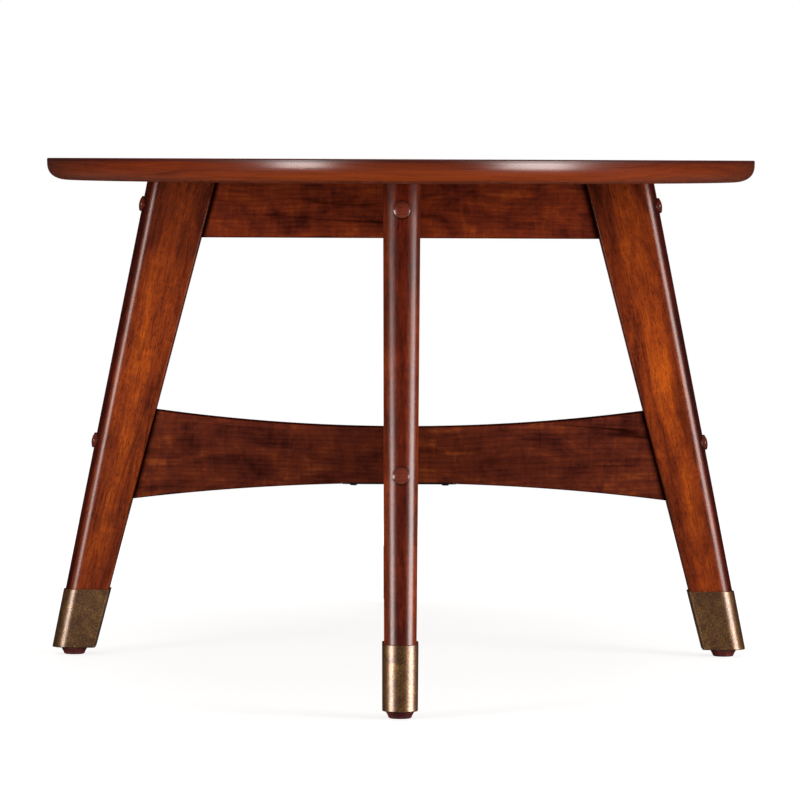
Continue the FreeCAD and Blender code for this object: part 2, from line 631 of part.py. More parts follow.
def make_parts():
    """Every node's solids, by node name."""
    parts = {}
    for side, (turn, reach) in LEG_SIDES.items():
        parts["leg_" + side] = [turned(make_leg(reach), turn)]
        parts["ferrule_" + side] = [turned(make_ferrule(reach), turn)]
        parts["leveler_foot_" + side] = [turned(make_glide_foot(reach), turn)]
        parts["leveler_stud_" + side] = [turned(make_glide_stud(reach), turn)]
        parts["leveler_insert_" + side] = [turned(make_leveler_insert(reach), turn)]
        parts["button_upper_" + side] = [turned(make_button(reach, APRON_BOLT_Z), turn)]
        parts["button_lower_" + side] = [turned(make_button(reach, STRETCHER_BOLT_Z), turn)]

    def at_each_leg(maker, *levels):
        solids = []
        for turn, reach in LEG_SIDES.values():
            solids.extend(turned(maker(reach, z), turn) for z in levels)
        return solids

    parts["apron_bolts"] = at_each_leg(make_bolt, APRON_BOLT_Z)
    parts["stretcher_bolts"] = at_each_leg(make_bolt, STRETCHER_BOLT_Z)
    parts["bolt_washers"] = at_each_leg(make_washer, APRON_BOLT_Z, STRETCHER_BOLT_Z)
    parts["apron_inserts"] = at_each_leg(make_board_insert, APRON_BOLT_Z)
    parts["stretcher_inserts"] = at_each_leg(make_board_insert, STRETCHER_BOLT_Z)
    parts["apron_dowels"] = at_each_leg(make_dowel, *APRON_DOWEL_ZS)
    parts["stretcher_dowels"] = at_each_leg(make_dowel, *STRETCHER_DOWEL_ZS)

    # The cross boards keep their lower half where they cross, and the long boards their upper half
    apron_floor = UNDERSIDE - APRON_HEIGHT - CUT_OVERRUN
    apron_ceiling = UNDERSIDE + CUT_OVERRUN
    cross_apron = make_apron(SIDE_REACH, CROSS_APRON_SCREWS, APRON_MID_LINE_HEIGHT, apron_ceiling)
    long_apron = make_apron(END_REACH, LONG_APRON_SCREWS, apron_floor, APRON_MID_LINE_HEIGHT)
    parts["cross_apron"] = [turned(cross_apron, CROSS_DEGREES)]
    parts["long_apron"] = [turned(long_apron, LONG_DEGREES)]
    stretcher_floor = STRETCHER_BOTTOM - CUT_OVERRUN
    stretcher_ceiling = STRETCHER_MID_LINE_HEIGHT + STRETCHER_MID_HEIGHT / 2 + CUT_OVERRUN
    cross_stretcher = make_stretcher(SIDE_REACH, STRETCHER_MID_LINE_HEIGHT, stretcher_ceiling)
    long_stretcher = make_stretcher(END_REACH, stretcher_floor, STRETCHER_MID_LINE_HEIGHT)
    parts["cross_stretcher"] = [turned(cross_stretcher, CROSS_DEGREES)]
    parts["long_stretcher"] = [turned(long_stretcher, LONG_DEGREES)]

    top_inserts = []
    top_screws = []
    insert_places = []
    apron_runs = [
        (CROSS_DEGREES, SIDE_REACH, CROSS_APRON_SCREWS),
        (LONG_DEGREES, END_REACH, LONG_APRON_SCREWS),
    ]
    for turn, reach, per_side in apron_runs:
        for x in top_screw_places(reach, per_side):
            top_inserts.append(turned(make_top_insert(x), turn))
            top_screws.append(turned(make_top_screw(x), turn))
            insert_places.append(Rotation(UP, turn).multVec(Vector(x, 0, UNDERSIDE)))
    parts["table_top"] = [make_top(insert_places)]
    parts["top_inserts"] = top_inserts
    parts["top_screws"] = top_screws

    parts["cross_plate"] = [make_cross_plate()]
    plate_screws = [make_plate_screw(x) for x in plate_screw_places()]
    parts["plate_screws"] = plate_screws + [turned(screw, LONG_DEGREES) for screw in plate_screws]
    return parts


os.makedirs("parts", exist_ok=True)
for name, shapes in make_parts().items():
    solids = [solid for shape in shapes for solid in shape.Solids]
    node = solids[0] if len(solids) == 1 else Part.makeCompound(solids)
    node.exportStep("parts/" + name + ".step")
    volume = sum(solid.Volume for solid in solids)
    print(name, "solids", len(solids), "valid", node.isValid(), "volume", round(volume, 1))
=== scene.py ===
"""Looks of an oval coffee table on four splayed legs.

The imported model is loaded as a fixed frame. The pieces that show are modelled again as smooth meshes that
stand for their nodes, the fittings keep their solids, and every surface gets its finish. Lengths are in
metres: X is the table's width, Y its length and +Z up.
"""

import logging
import math
from contextlib import contextmanager
from dataclasses import dataclass, replace
from enum import Enum
from functools import cache
from typing import Callable, ClassVar, Iterator, Sequence, Union

import bmesh
import bpy
from mathutils import Matrix, Vector


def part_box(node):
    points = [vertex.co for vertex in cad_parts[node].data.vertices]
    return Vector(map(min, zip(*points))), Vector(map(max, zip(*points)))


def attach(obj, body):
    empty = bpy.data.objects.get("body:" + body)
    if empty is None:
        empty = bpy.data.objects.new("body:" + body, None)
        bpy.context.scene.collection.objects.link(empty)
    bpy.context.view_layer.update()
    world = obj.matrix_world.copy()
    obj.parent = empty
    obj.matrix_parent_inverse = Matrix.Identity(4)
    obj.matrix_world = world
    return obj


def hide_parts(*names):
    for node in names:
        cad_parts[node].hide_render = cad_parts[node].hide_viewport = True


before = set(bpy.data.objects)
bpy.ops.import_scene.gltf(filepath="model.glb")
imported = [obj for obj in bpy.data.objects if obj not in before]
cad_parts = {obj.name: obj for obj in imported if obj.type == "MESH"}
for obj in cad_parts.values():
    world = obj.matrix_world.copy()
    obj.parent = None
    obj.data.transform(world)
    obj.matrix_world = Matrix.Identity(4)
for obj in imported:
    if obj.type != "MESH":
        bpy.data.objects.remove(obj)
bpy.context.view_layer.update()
UP = Vector((0, 0, 1))

# Two heights within TOUCH are the same, and points within WELD are one
TOUCH = 1e-6
WELD = 1e-5
# A face whose normal's upright part is past LEVEL_SHARE is level, and under WALL_SHARE it is a wall
LEVEL_SHARE = 0.9
WALL_SHARE = 0.5

log = logging.getLogger("coffee_table")

Edge = bmesh.types.BMEdge
Socket = bpy.types.NodeSocket
Number = Union[float, Socket]
Span = tuple[float, float]
Triple = tuple[float, float, float]


@cache
def box_of(node: str) -> tuple[Vector, Vector]:
    """The lowest and highest corners of a CAD node, measured once."""
    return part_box(node)


def level_with(edge: Edge, z: float) -> bool:
    """Whether an edge lies at a height."""
    return all(abs(vert.co.z - z) < TOUCH for vert in edge.verts)


def beside_wall(edge: Edge) -> bool:
    """Whether an edge borders a face that stands upright."""
    return any(abs(face.normal.z) < WALL_SHARE for face in edge.link_faces)


def outside_circle(edge: Edge, radius: float) -> bool:
    """Whether an edge's ends lie outside a circle round the Z axis."""
    return all(vert.co.to_2d().length > radius for vert in edge.verts)


class Side(Enum):
    """A side of the table, by the turn about Z in degrees that brings +X to it."""

    RIGHT = 0
    BACK = 90
    LEFT = 180
    FRONT = 270

    @property
    def word(self) -> str:
        """The side's name as the nodes spell it."""
        return self.name.lower()

    @property
    def turn(self) -> Matrix:
        """The turn that brings a piece built along +X to this side."""
        return Matrix.Rotation(math.radians(self.value), 4, "Z")

    def reach_of(self, node: str) -> float:
        """How far a node reaches towards this side, from the table's upright middle line."""
        outward = self.turn @ Vector((1, 0, 0))
        return max(outward.dot(corner) for corner in box_of(node))


class Run(Enum):
    """Which way a board runs, with the side that its far end points to."""

    CROSS = Side.RIGHT
    LONG = Side.BACK

    @property
    def word(self) -> str:
        """The run's name as the nodes spell it."""
        return self.name.lower()


class Level(Enum):
    """The two bolts of a leg, by where they sit on it."""

    UPPER = "upper"
    LOWER = "lower"


@dataclass(frozen=True)
class Tone:
    """A colour as a screen shows it, each channel from 0 to 255."""

    red: int
    green: int
    blue: int

    def linear(self) -> tuple[float, float, float, float]:
        """The colour as shader sockets take it."""
        return (*(self._channel(value / 255) for value in (self.red, self.green, self.blue)), 1.0)

    @staticmethod
    def _channel(value: float) -> float:
        """One screen channel, from 0 to 1, as linear light by the sRGB curve."""
        return value / 12.92 if value <= 0.04045 else ((value + 0.055) / 1.055) ** 2.4


@dataclass(frozen=True)
class Pattern:
    """A noise: the sizes of its features, how they are broken up, and how many of them it is moved by."""

    sizes: Triple
    detail: float = 2.0
    roughness: float = 0.5
    swirl: float = 0.0
    shift: Triple = (0, 0, 0)


class NodeBench:
    """Adds the nodes of one material, or of the world, and links them up."""

    # Where nearly all of a noise lies
    NOISE_SPAN: ClassVar[Span] = (0.3, 0.7)

    def __init__(self, owner: Union[bpy.types.Material, bpy.types.World]) -> None:
        """Starts from the owner's plain nodes.

        Args:
            owner: The material or the world to add nodes to.
        """
        owner.use_nodes = True
        self.owner = owner
        self.tree = owner.node_tree

    @classmethod
    def for_material(cls, name: str) -> "NodeBench":
        """Starts a new material."""
        return cls(bpy.data.materials.new(name))

    @property
    def surface(self) -> bpy.types.Node:
        """The material's surface shader."""
        return self.tree.nodes["Principled BSDF"]

    def feed(self, socket: Socket, value: object) -> None:
        """Links a socket to another, or sets it to a plain value.

        Args:
            socket: The input to fill.
            value: A socket to link from, or the value to set.
        """
        if isinstance(value, bpy.types.NodeSocket):
            self.tree.links.new(value, socket)
        else:
            socket.default_value = value

    def add(self, kind: str, inputs: dict, output: Union[int, str] = 0, **settings: object) -> Socket:
        """Adds a node with its inputs filled.

        Args:
            kind: The shader node's type, without its prefix.
            inputs: Values or sockets, by the input's name or number.
            output: The name or number of the output wanted.
            **settings: Properties to set on the node.

        Returns:
            The output.
        """
        node = self.tree.nodes.new("ShaderNode" + kind)
        for name, value in settings.items():
            setattr(node, name, value)
        for key, value in inputs.items():
            self.feed(node.inputs[key], value)
        return node.outputs[output]

    def dress(self, **inputs: object) -> bpy.types.Material:
        """Fills the surface shader's inputs.

        Args:
            **inputs: Values or sockets by input name, with _ for a space.

        Returns:
            The finished material.
        """
        for name, value in inputs.items():
            self.feed(self.surface.inputs[name.replace("_", " ")], value)
        return self.owner

    def attribute(self, name: str) -> Socket:
        """The vector that the piece's mesh holds under a name."""
        return self.add("Attribute", {}, "Vector", attribute_name=name)

    def place(self) -> Socket:
        """The point's place in the table's own frame."""
        return self.add("TexCoord", {}, "Object")

    def rays(self) -> Sequence[Socket]:
        """What kind of ray meets the point, each kind 1 or 0."""
        return self.add("LightPath", {}).node.outputs

    def split(self, vector: Socket) -> tuple[Socket, Socket, Socket]:
        """The three parts of a vector."""
        return tuple(self.add("SeparateXYZ", {"Vector": vector}).node.outputs)

    def length(self, vector: Socket) -> Socket:
        """How long a vector is."""
        return self.add("VectorMath", {0: vector}, "Value", operation="LENGTH")

    def stretch(self, vector: Socket, sizes: Triple, shift: Triple) -> Socket:
        """Coordinates in units of the sizes given, moved by so many of those units."""
        inputs = {"Vector": vector, "Scale": [1 / size for size in sizes], "Location": shift}
        return self.add("Mapping", inputs)

    def noise(self, vector: Socket, pattern: Pattern) -> Socket:
        """Adds a noise.

        Args:
            vector: The coordinates to read, in metres.
            pattern: What the noise is like.

        Returns:
            The noise, around 0.5.
        """
        inputs = {
            "Vector": self.stretch(vector, pattern.sizes, pattern.shift),
            "Scale": 1.0,
            "Detail": pattern.detail,
            "Roughness": pattern.roughness,
            "Distortion": pattern.swirl,
        }
        return self.add("TexNoise", inputs, "Fac")

    def calc(self, operation: str, *values: Number) -> Socket:
        """The result of a Math node's operation on its values or sockets."""
        return self.add("Math", dict(enumerate(values)), operation=operation)

    def mix_in(self, base: Number, value: Number, share: Number) -> Socket:
        """A base with a share of another value added to it."""
        return self.calc("MULTIPLY_ADD", value, share, base)

    def choose(self, test: Socket, otherwise: Number, when: Number) -> Socket:
        """The last value where the test is 1, and the one before it where it is 0."""
        factor, first, second = 0, 2, 3
        return self.add("Mix", {factor: test, first: otherwise, second: when})

    def ease(self, value: Socket, span: Span, ends: Span = (0.0, 1.0)) -> Socket:
        """Eases from one result to another.

        Args:
            value: The socket that drives the change.
            span: Where the change starts and where it ends.
            ends: The results before it starts and past its end.

        Returns:
            The eased value.
        """
        inputs = dict(zip(("From Min", "From Max", "To Min", "To Max"), (*span, *ends)))
        return self.add("MapRange", {"Value": value, **inputs}, "Result", interpolation_type="SMOOTHSTEP")

    def ramp(self, value: Socket, stops: Sequence[float], tones: Sequence[Tone]) -> Socket:
        """Turns a value into a colour.

        Args:
            value: The socket that picks the colour.
            stops: The values that the tones belong to, in order.
            tones: The tones.

        Returns:
            The colour.
        """
        colour = self.add("ValToRGB", {"Fac": value}, "Color")
        elements = colour.node.color_ramp.elements
        while len(elements) < len(stops):
            elements.new(1.0)
        for element, position, tone in zip(elements, stops, tones):
            element.position = position
            element.color = tone.linear()
        return colour

    def tint(self, amount: Number, colour: Socket, tone: Tone) -> Socket:
        """Multiplies a colour by a tone.

        Args:
            amount: How much of the tone shows, from 0 to 1.
            colour: The colour underneath.
            tone: The tone laid over it.

        Returns:
            The tinted colour.
        """
        factor, under, over, blended = 0, 6, 7, 2
        inputs = {factor: amount, under: colour, over: tone.linear()}
        return self.add("Mix", inputs, blended, data_type="RGBA", blend_type="MULTIPLY")

    def bump(self, height: Socket, depth: float, strength: float) -> Socket:
        """The normal of a relief whose height is from 0 to 1, so deep and showing so much."""
        return self.add("Bump", {"Height": height, "Distance": depth, "Strength": strength})


@dataclass(frozen=True)
class StainedWood:
    """Stained and satin-lacquered hardwood, whose grain follows the plank that it was cut from.

    The tones run from the darkest figure to the glow. Lengths and widths are of the figure's features. The
    toner darkens edges and ends: in part a darker stain along the edges, in part painted shade on dark outer
    edges, on a top's upper edge and under the top. The shade is painted shade beside joints and buttons.
    Places in the plank run from -1 to 1 across it, with 1 at the outer edge, and from 0 to 1 along it.
    """

    name: str
    slot: str
    tones: tuple[Tone, Tone, Tone, Tone]
    # Figure
    cloud_length: float = 0.060
    cloud_width: float = 0.013
    cloud: float = 0.85
    ripple: float = 0.32
    swirl: float = 0.7
    fibre: float = 0.60
    grain_length: float = 0.014
    glow: float = 0.0
    flecks: float = 0.60
    streaks: float = 0.45
    leaf_width: float = 0.0
    # Rim of a top: calmer than its faces, with painted light that lightens its lower part
    edge_calm: float = 0.0
    rim_painted_light: float = 0.0
    # Toner: a darker stain along edges, partly painted shade on dark edges and under the top
    toner: Tone = Tone(164, 104, 88)
    toner_start: float = 0.55
    toner_full: float = 0.92
    outer_toner_and_shade: float = 0.50
    inner_toner: float = 0.60
    crown_toner_and_shade: float = 0.0
    shade_under_top: float = 0.0
    darker_towards_foot: float = 0.0
    # Painted shade beside a joint and round a leg's buttons
    joint_shade: float = 0.0
    shade: Tone = Tone(84, 62, 58)
    # Lacquer
    roughness: Span = (0.24, 0.33)
    edge_roughness: float = 0.03
    rubbed: float = 0.0
    coat: float = 0.10
    edge_coat: float = 0.0
    coat_roughness: float = 0.24
    gloss: float = 0.5
    lustre: Tone = Tone(255, 232, 226)

    # Levels of the figure
    MIDDLE: ClassVar[float] = 0.5
    MEAN_FIGURE: ClassVar[float] = 0.53
    TONE_STOPS: ClassVar[tuple[float, ...]] = (0.22, 0.44, 0.62, 0.84)
    # Fibre and pores
    FIBRE_WIDTH: ClassVar[float] = 0.0013
    PORE_WIDTH: ClassVar[float] = 0.0008
    PORES_PER_FIBRE: ClassVar[int] = 4
    FLECK_SPAN: ClassVar[Span] = (0.54, 0.68)
    FLECK_TONE: ClassVar[Tone] = Tone(140, 104, 96)
    SHEEN_SPAN: ClassVar[Span] = (0.25, 0.75)
    FIBRE_RELIEF: ClassVar[float] = 0.6
    RELIEF: ClassVar[Span] = (0.00003, 0.4)
    # Ripple across the grain
    RIPPLES: ClassVar[Pattern] = Pattern((0.008, 0.022, 0.022), 3.0, 0.6, 1.0, (3, 7, 1))
    # Growth rings, the same all along the grain, round a heart that lies outside the plank
    RING_SIZES: ClassVar[Triple] = (1e6, 0.0042, 0.0042)
    RING_HEART: ClassVar[Triple] = (0, 5, 17)
    RING_WOBBLE: ClassVar[Pattern] = Pattern((0.30, 0.10, 0.10))
    RING_WANDER: ClassVar[float] = 9.0
    RING_SHARPNESS: ClassVar[float] = 3.0
    RING_DARKNESS: ClassVar[float] = 0.12
    # Streaks, in patches
    STREAK_FIELD: ClassVar[Pattern] = Pattern((0.40, 0.034, 0.034), 2.0, 0.45, 0.3, (2, 1, 4))
    STREAK_WIDTH: ClassVar[float] = 0.022
    STREAK_TONE: ClassVar[Tone] = Tone(110, 80, 76)
    PATCHES: ClassVar[Pattern] = Pattern((0.15, 0.06, 0.06))
    PATCH_SPAN: ClassVar[Span] = (0.45, 0.62)
    # From one leaf of veneer to the next
    LEAF_STEP: ClassVar[Triple] = (0.73, 0, 0.019)
    # Places across the plank
    GLOW_SPAN: ClassVar[Span] = (0.75, 0.05)
    RIM_SPAN: ClassVar[Span] = (0.05, 0.15)
    RIM_PAINTED_LIGHT_SPAN: ClassVar[Span] = (0.95, 0.35)
    INNER_FULL: ClassVar[float] = -0.97
    CROWN_SPAN: ClassVar[Span] = (0.945, 0.985)
    # Places along the plank
    SHADE_UNDER_TOP_SPAN: ClassVar[Span] = (0.68, 0.92)
    FOOT_SPAN: ClassVar[Span] = (0.40, 0.18)

    def material(self) -> bpy.types.Material:
        """Builds the finish from the mesh's own grain and place attributes.

        Returns:
            The material.
        """
        bench = NodeBench.for_material(self.name)
        grain = self._leaves(bench, bench.attribute("grain"))
        from_joint, across, along = bench.split(bench.attribute("place"))
        length, width, pore = self.grain_length, self.FIBRE_WIDTH, self.PORE_WIDTH
        fibre = bench.noise(grain, Pattern((length, width, width), detail=4.0, roughness=0.72))
        pores = bench.noise(grain, Pattern((length / self.PORES_PER_FIBRE, pore, pore), roughness=0.6))
        fleck = bench.ease(pores, self.FLECK_SPAN)
        colour = bench.ramp(self._figure(bench, grain, fibre, across), self.TONE_STOPS, self.tones)
        colour = bench.tint(self._streaks(bench, grain), colour, self.STREAK_TONE)
        colour = bench.tint(bench.calc("MULTIPLY", fleck, self.flecks), colour, self.FLECK_TONE)
        outer = bench.ease(across, (self.toner_start, self.toner_full))
        # Darker edges and ends: partly stain, partly painted shade on dark edges and under the top
        colour = bench.tint(self._toner_and_shade(bench, across, along, outer), colour, self.toner)
        # Painted shade beside joints and round buttons
        if self.joint_shade:
            colour = bench.tint(bench.ease(from_joint, (self.joint_shade, 0.0)), colour, self.shade)
        sheen = bench.ease(fibre, self.SHEEN_SPAN, self.roughness)
        coat = bench.mix_in(self.coat, outer, self.edge_coat) if self.edge_coat else self.coat
        if self.rubbed:
            face = bench.ease(across, self.RIM_SPAN[::-1])
            sheen = bench.mix_in(sheen, face, self.rubbed)
            coat = bench.mix_in(self.coat, face, -self.coat)
        relief = bench.calc("SUBTRACT", bench.calc("MULTIPLY", fibre, self.FIBRE_RELIEF), fleck)
        return bench.dress(
            Base_Color=colour,
            Roughness=bench.mix_in(sheen, outer, self.edge_roughness),
            Specular_IOR_Level=self.gloss,
            Specular_Tint=self.lustre.linear(),
            Normal=bench.bump(relief, *self.RELIEF),
            Coat_Weight=coat,
            Coat_Roughness=self.coat_roughness,
        )

    def _leaves(self, bench: NodeBench, grain: Socket) -> Socket:
        """Lays the figure in side by side leaves of veneer, each cut from further along the log.

        Args:
            bench: The material's nodes.
            grain: The grain coordinates of the whole piece.

        Returns:
            The grain coordinates within the leaves.
        """
        if not self.leaf_width:
            return grain
        leaf = bench.calc("FLOOR", bench.calc("DIVIDE", bench.split(grain)[1], self.leaf_width))
        return bench.add("VectorMath", {0: leaf, 1: self.LEAF_STEP, 2: grain}, operation="MULTIPLY_ADD")

    def _figure(self, bench: NodeBench, grain: Socket, fibre: Socket, across: Socket) -> Socket:
        """Adds up the figure of the wood: clouds, fibre, cross ripple, glow, growth rings and painted rim
        light.

        Args:
            bench: The material's nodes.
            grain: The grain coordinates.
            fibre: The fine fibre pattern.
            across: The place across the plank.

        Returns:
            The figure, from dark to light, around its middle.
        """
        sizes = (self.cloud_length, self.cloud_width, self.cloud_width)
        clouds = bench.noise(grain, Pattern(sizes, detail=3.0, roughness=0.6, swirl=self.swirl))
        level = self.MEAN_FIGURE - (self.cloud + self.fibre + self.ripple) / 2
        figure = bench.mix_in(level, clouds, self.cloud)
        figure = bench.mix_in(figure, fibre, self.fibre)
        figure = bench.mix_in(figure, bench.noise(grain, self.RIPPLES), self.ripple)
        glow = bench.ease(bench.calc("ABSOLUTE", across), self.GLOW_SPAN, (-self.MIDDLE, self.MIDDLE))
        figure = bench.mix_in(figure, glow, self.glow)
        figure = bench.mix_in(figure, self._rings(bench, grain), -self.RING_DARKNESS)
        if not self.edge_calm:
            return figure
        rim = bench.ease(across, self.RIM_SPAN)
        contrast = bench.mix_in(1.0, rim, -self.edge_calm)
        # Painted light: the rim grows lighter towards its underside
        rim_light = bench.ease(across, self.RIM_PAINTED_LIGHT_SPAN, (0.0, self.rim_painted_light))
        lit_rim_level = bench.mix_in(self.MIDDLE, rim, rim_light)
        return bench.mix_in(lit_rim_level, bench.calc("SUBTRACT", figure, self.MIDDLE), contrast)

    def _rings(self, bench: NodeBench, grain: Socket) -> Socket:
        """Draws the growth rings.

        Args:
            bench: The material's nodes.
            grain: The grain coordinates.

        Returns:
            How dark the rings are, from 0 to 1, darkest where each ends.
        """
        from_heart = bench.length(bench.stretch(grain, self.RING_SIZES, self.RING_HEART))
        wandering = bench.mix_in(from_heart, bench.noise(grain, self.RING_WOBBLE), self.RING_WANDER)
        return bench.calc("POWER", bench.calc("FRACT", wandering), self.RING_SHARPNESS)

    def _streaks(self, bench: NodeBench, grain: Socket) -> Socket:
        """Draws a few thin dark lines that wander along the grain.

        Args:
            bench: The material's nodes.
            grain: The grain coordinates.

        Returns:
            How dark the lines are, from 0 to 1.
        """
        field = bench.noise(grain, self.STREAK_FIELD)
        from_line = bench.calc("ABSOLUTE", bench.calc("SUBTRACT", field, self.MIDDLE))
        line = bench.ease(from_line, (0.0, self.STREAK_WIDTH), (1.0, 0.0))
        patch = bench.ease(bench.noise(grain, self.PATCHES), self.PATCH_SPAN)
        return bench.calc("MULTIPLY", bench.calc("MULTIPLY", line, patch), self.streaks)

    def _toner_and_shade(self, bench: NodeBench, across: Socket, along: Socket, outer: Socket) -> Socket:
        """Spreads the toner, in part stain and in part painted shade, along the plank's edges and towards
        its ends.

        Args:
            bench: The material's nodes.
            across: The place across the plank.
            along: The place along the plank.
            outer: How near the plank's outer edge is, from 0 to 1.

        Returns:
            How much toner and painted shade shows, from 0 to 1.
        """
        amount = bench.calc("MULTIPLY", outer, self.outer_toner_and_shade)
        # Outer and crown bands: stain and painted edge shade; the top band: painted shade under the top
        bands = (
            (self.inner_toner, across, (-self.toner_start, self.INNER_FULL)),
            (self.crown_toner_and_shade, across, self.CROWN_SPAN),
            # Painted shade that the top casts on a leg's upper end
            (self.shade_under_top, along, self.SHADE_UNDER_TOP_SPAN),
            # Darker towards the foot
            (self.darker_towards_foot, along, self.FOOT_SPAN),
        )
        for strength, place, span in bands:
            if strength:
                amount = bench.calc("MAXIMUM", amount, bench.ease(place, span, (0.0, strength)))
        return amount


@dataclass(frozen=True)
class AgedBrass:
    """Antique brass under thin lacquer: a brown patina, speckled, with the metal shining through."""

    name: str = "antique_brass"
    slot: str = "antique_brass"
    tones: tuple[Tone, Tone, Tone] = (Tone(88, 51, 19), Tone(122, 77, 33), Tone(178, 128, 66))
    stops: Triple = (0.36, 0.50, 0.66)
    mottle: Pattern = Pattern((0.009, 0.009, 0.012), detail=4.0, roughness=0.62, swirl=0.6)
    mottle_share: float = 0.50
    specks: Pattern = Pattern((0.0011, 0.0011, 0.0011), detail=3.0, roughness=0.65)
    speck_share: float = 0.95
    mean_figure: float = 0.5
    roughness: Span = (0.48, 0.40)
    relief: Span = (0.00003, 0.12)

    def material(self) -> bpy.types.Material:
        """Builds the finish.

        Returns:
            The material.
        """
        bench = NodeBench.for_material(self.name)
        place = bench.place()
        speck = bench.noise(place, self.specks)
        level = self.mean_figure - (self.mottle_share + self.speck_share) / 2
        figure = bench.mix_in(level, bench.noise(place, self.mottle), self.mottle_share)
        figure = bench.mix_in(figure, speck, self.speck_share)
        return bench.dress(
            Base_Color=bench.ramp(figure, self.stops, self.tones),
            Metallic=0.75,
            Roughness=bench.ease(figure, bench.NOISE_SPAN, self.roughness),
            Normal=bench.bump(speck, *self.relief),
            Coat_Weight=1.0,
            Coat_Roughness=0.31,
            Coat_IOR=1.8,
        )


@dataclass(frozen=True)
class MouldedPlastic:
    """Dark maroon plastic with the fine grain of its mould."""

    name: str = "maroon_plastic"
    slot: str = "maroon_plastic"
    tones: tuple[Tone, Tone] = (Tone(74, 22, 20), Tone(112, 44, 38))
    stops: Span = (0.35, 0.75)
    clouds: Pattern = Pattern((0.006, 0.006, 0.004), detail=3.0)
    grain: Pattern = Pattern((0.0007, 0.0007, 0.0007))
    roughness: Span = (0.42, 0.58)
    relief: Span = (0.00003, 0.5)

    def material(self) -> bpy.types.Material:
        """Builds the finish.

        Returns:
            The material.
        """
        bench = NodeBench.for_material(self.name)
        place = bench.place()
        grain = bench.noise(place, self.grain)
        return bench.dress(
            Base_Color=bench.ramp(bench.noise(place, self.clouds), self.stops, self.tones),
            Roughness=bench.ease(grain, bench.NOISE_SPAN, self.roughness),
            Normal=bench.bump(grain, *self.relief),
        )


@dataclass(frozen=True)
class PlatedSteel:
    """Steel under a plating or a black coat, with faint drawn lines and wear."""

    name: str
    tones: tuple[Tone, Tone]
    metallic: float
    roughness: Span
    stops: Span = (0.35, 0.70)
    wear: Pattern = Pattern((0.004, 0.004, 0.004), detail=4.0, roughness=0.6)
    lines: Pattern = Pattern((0.0012, 0.0012, 0.0002))
    relief: Span = (0.00002, 0.4)

    def material(self) -> bpy.types.Material:
        """Builds the finish.

        Returns:
            The material.
        """
        bench = NodeBench.for_material(self.name)
        place = bench.place()
        wear = bench.noise(place, self.wear)
        return bench.dress(
            Base_Color=bench.ramp(wear, self.stops, self.tones),
            Metallic=self.metallic,
            Roughness=bench.ease(wear, bench.NOISE_SPAN, self.roughness),
            Normal=bench.bump(bench.noise(place, self.lines), *self.relief),
        )


@dataclass(frozen=True)
class BareDowel:
    """Pale unstained beech with short flecks along the dowel."""

    name: str = "bare_beech"
    tones: tuple[Tone, Tone] = (Tone(178, 134, 88), Tone(214, 178, 132))
    stops: Span = (0.35, 0.65)
    flecks: Pattern = Pattern((0.006, 0.006, 0.0008), detail=3.0, roughness=0.6)
    roughness: Span = (0.55, 0.70)
    relief: Span = (0.00005, 0.5)

    def material(self) -> bpy.types.Material:
        """Builds the finish.

        Returns:
            The material.
        """
        bench = NodeBench.for_material(self.name)
        fleck = bench.noise(bench.place(), self.flecks)
        return bench.dress(
            Base_Color=bench.ramp(fleck, self.stops, self.tones),
            Roughness=bench.ease(fleck, bench.NOISE_SPAN, self.roughness),
            Normal=bench.bump(fleck, *self.relief),
        )


@dataclass(frozen=True)
class Corner:
    """One corner of a face: its place, and the normal and the centre of its face."""

    point: Vector
    normal: Vector
    center: Vector


GrainReader = Callable[[Corner], tuple[Vector, Vector]]


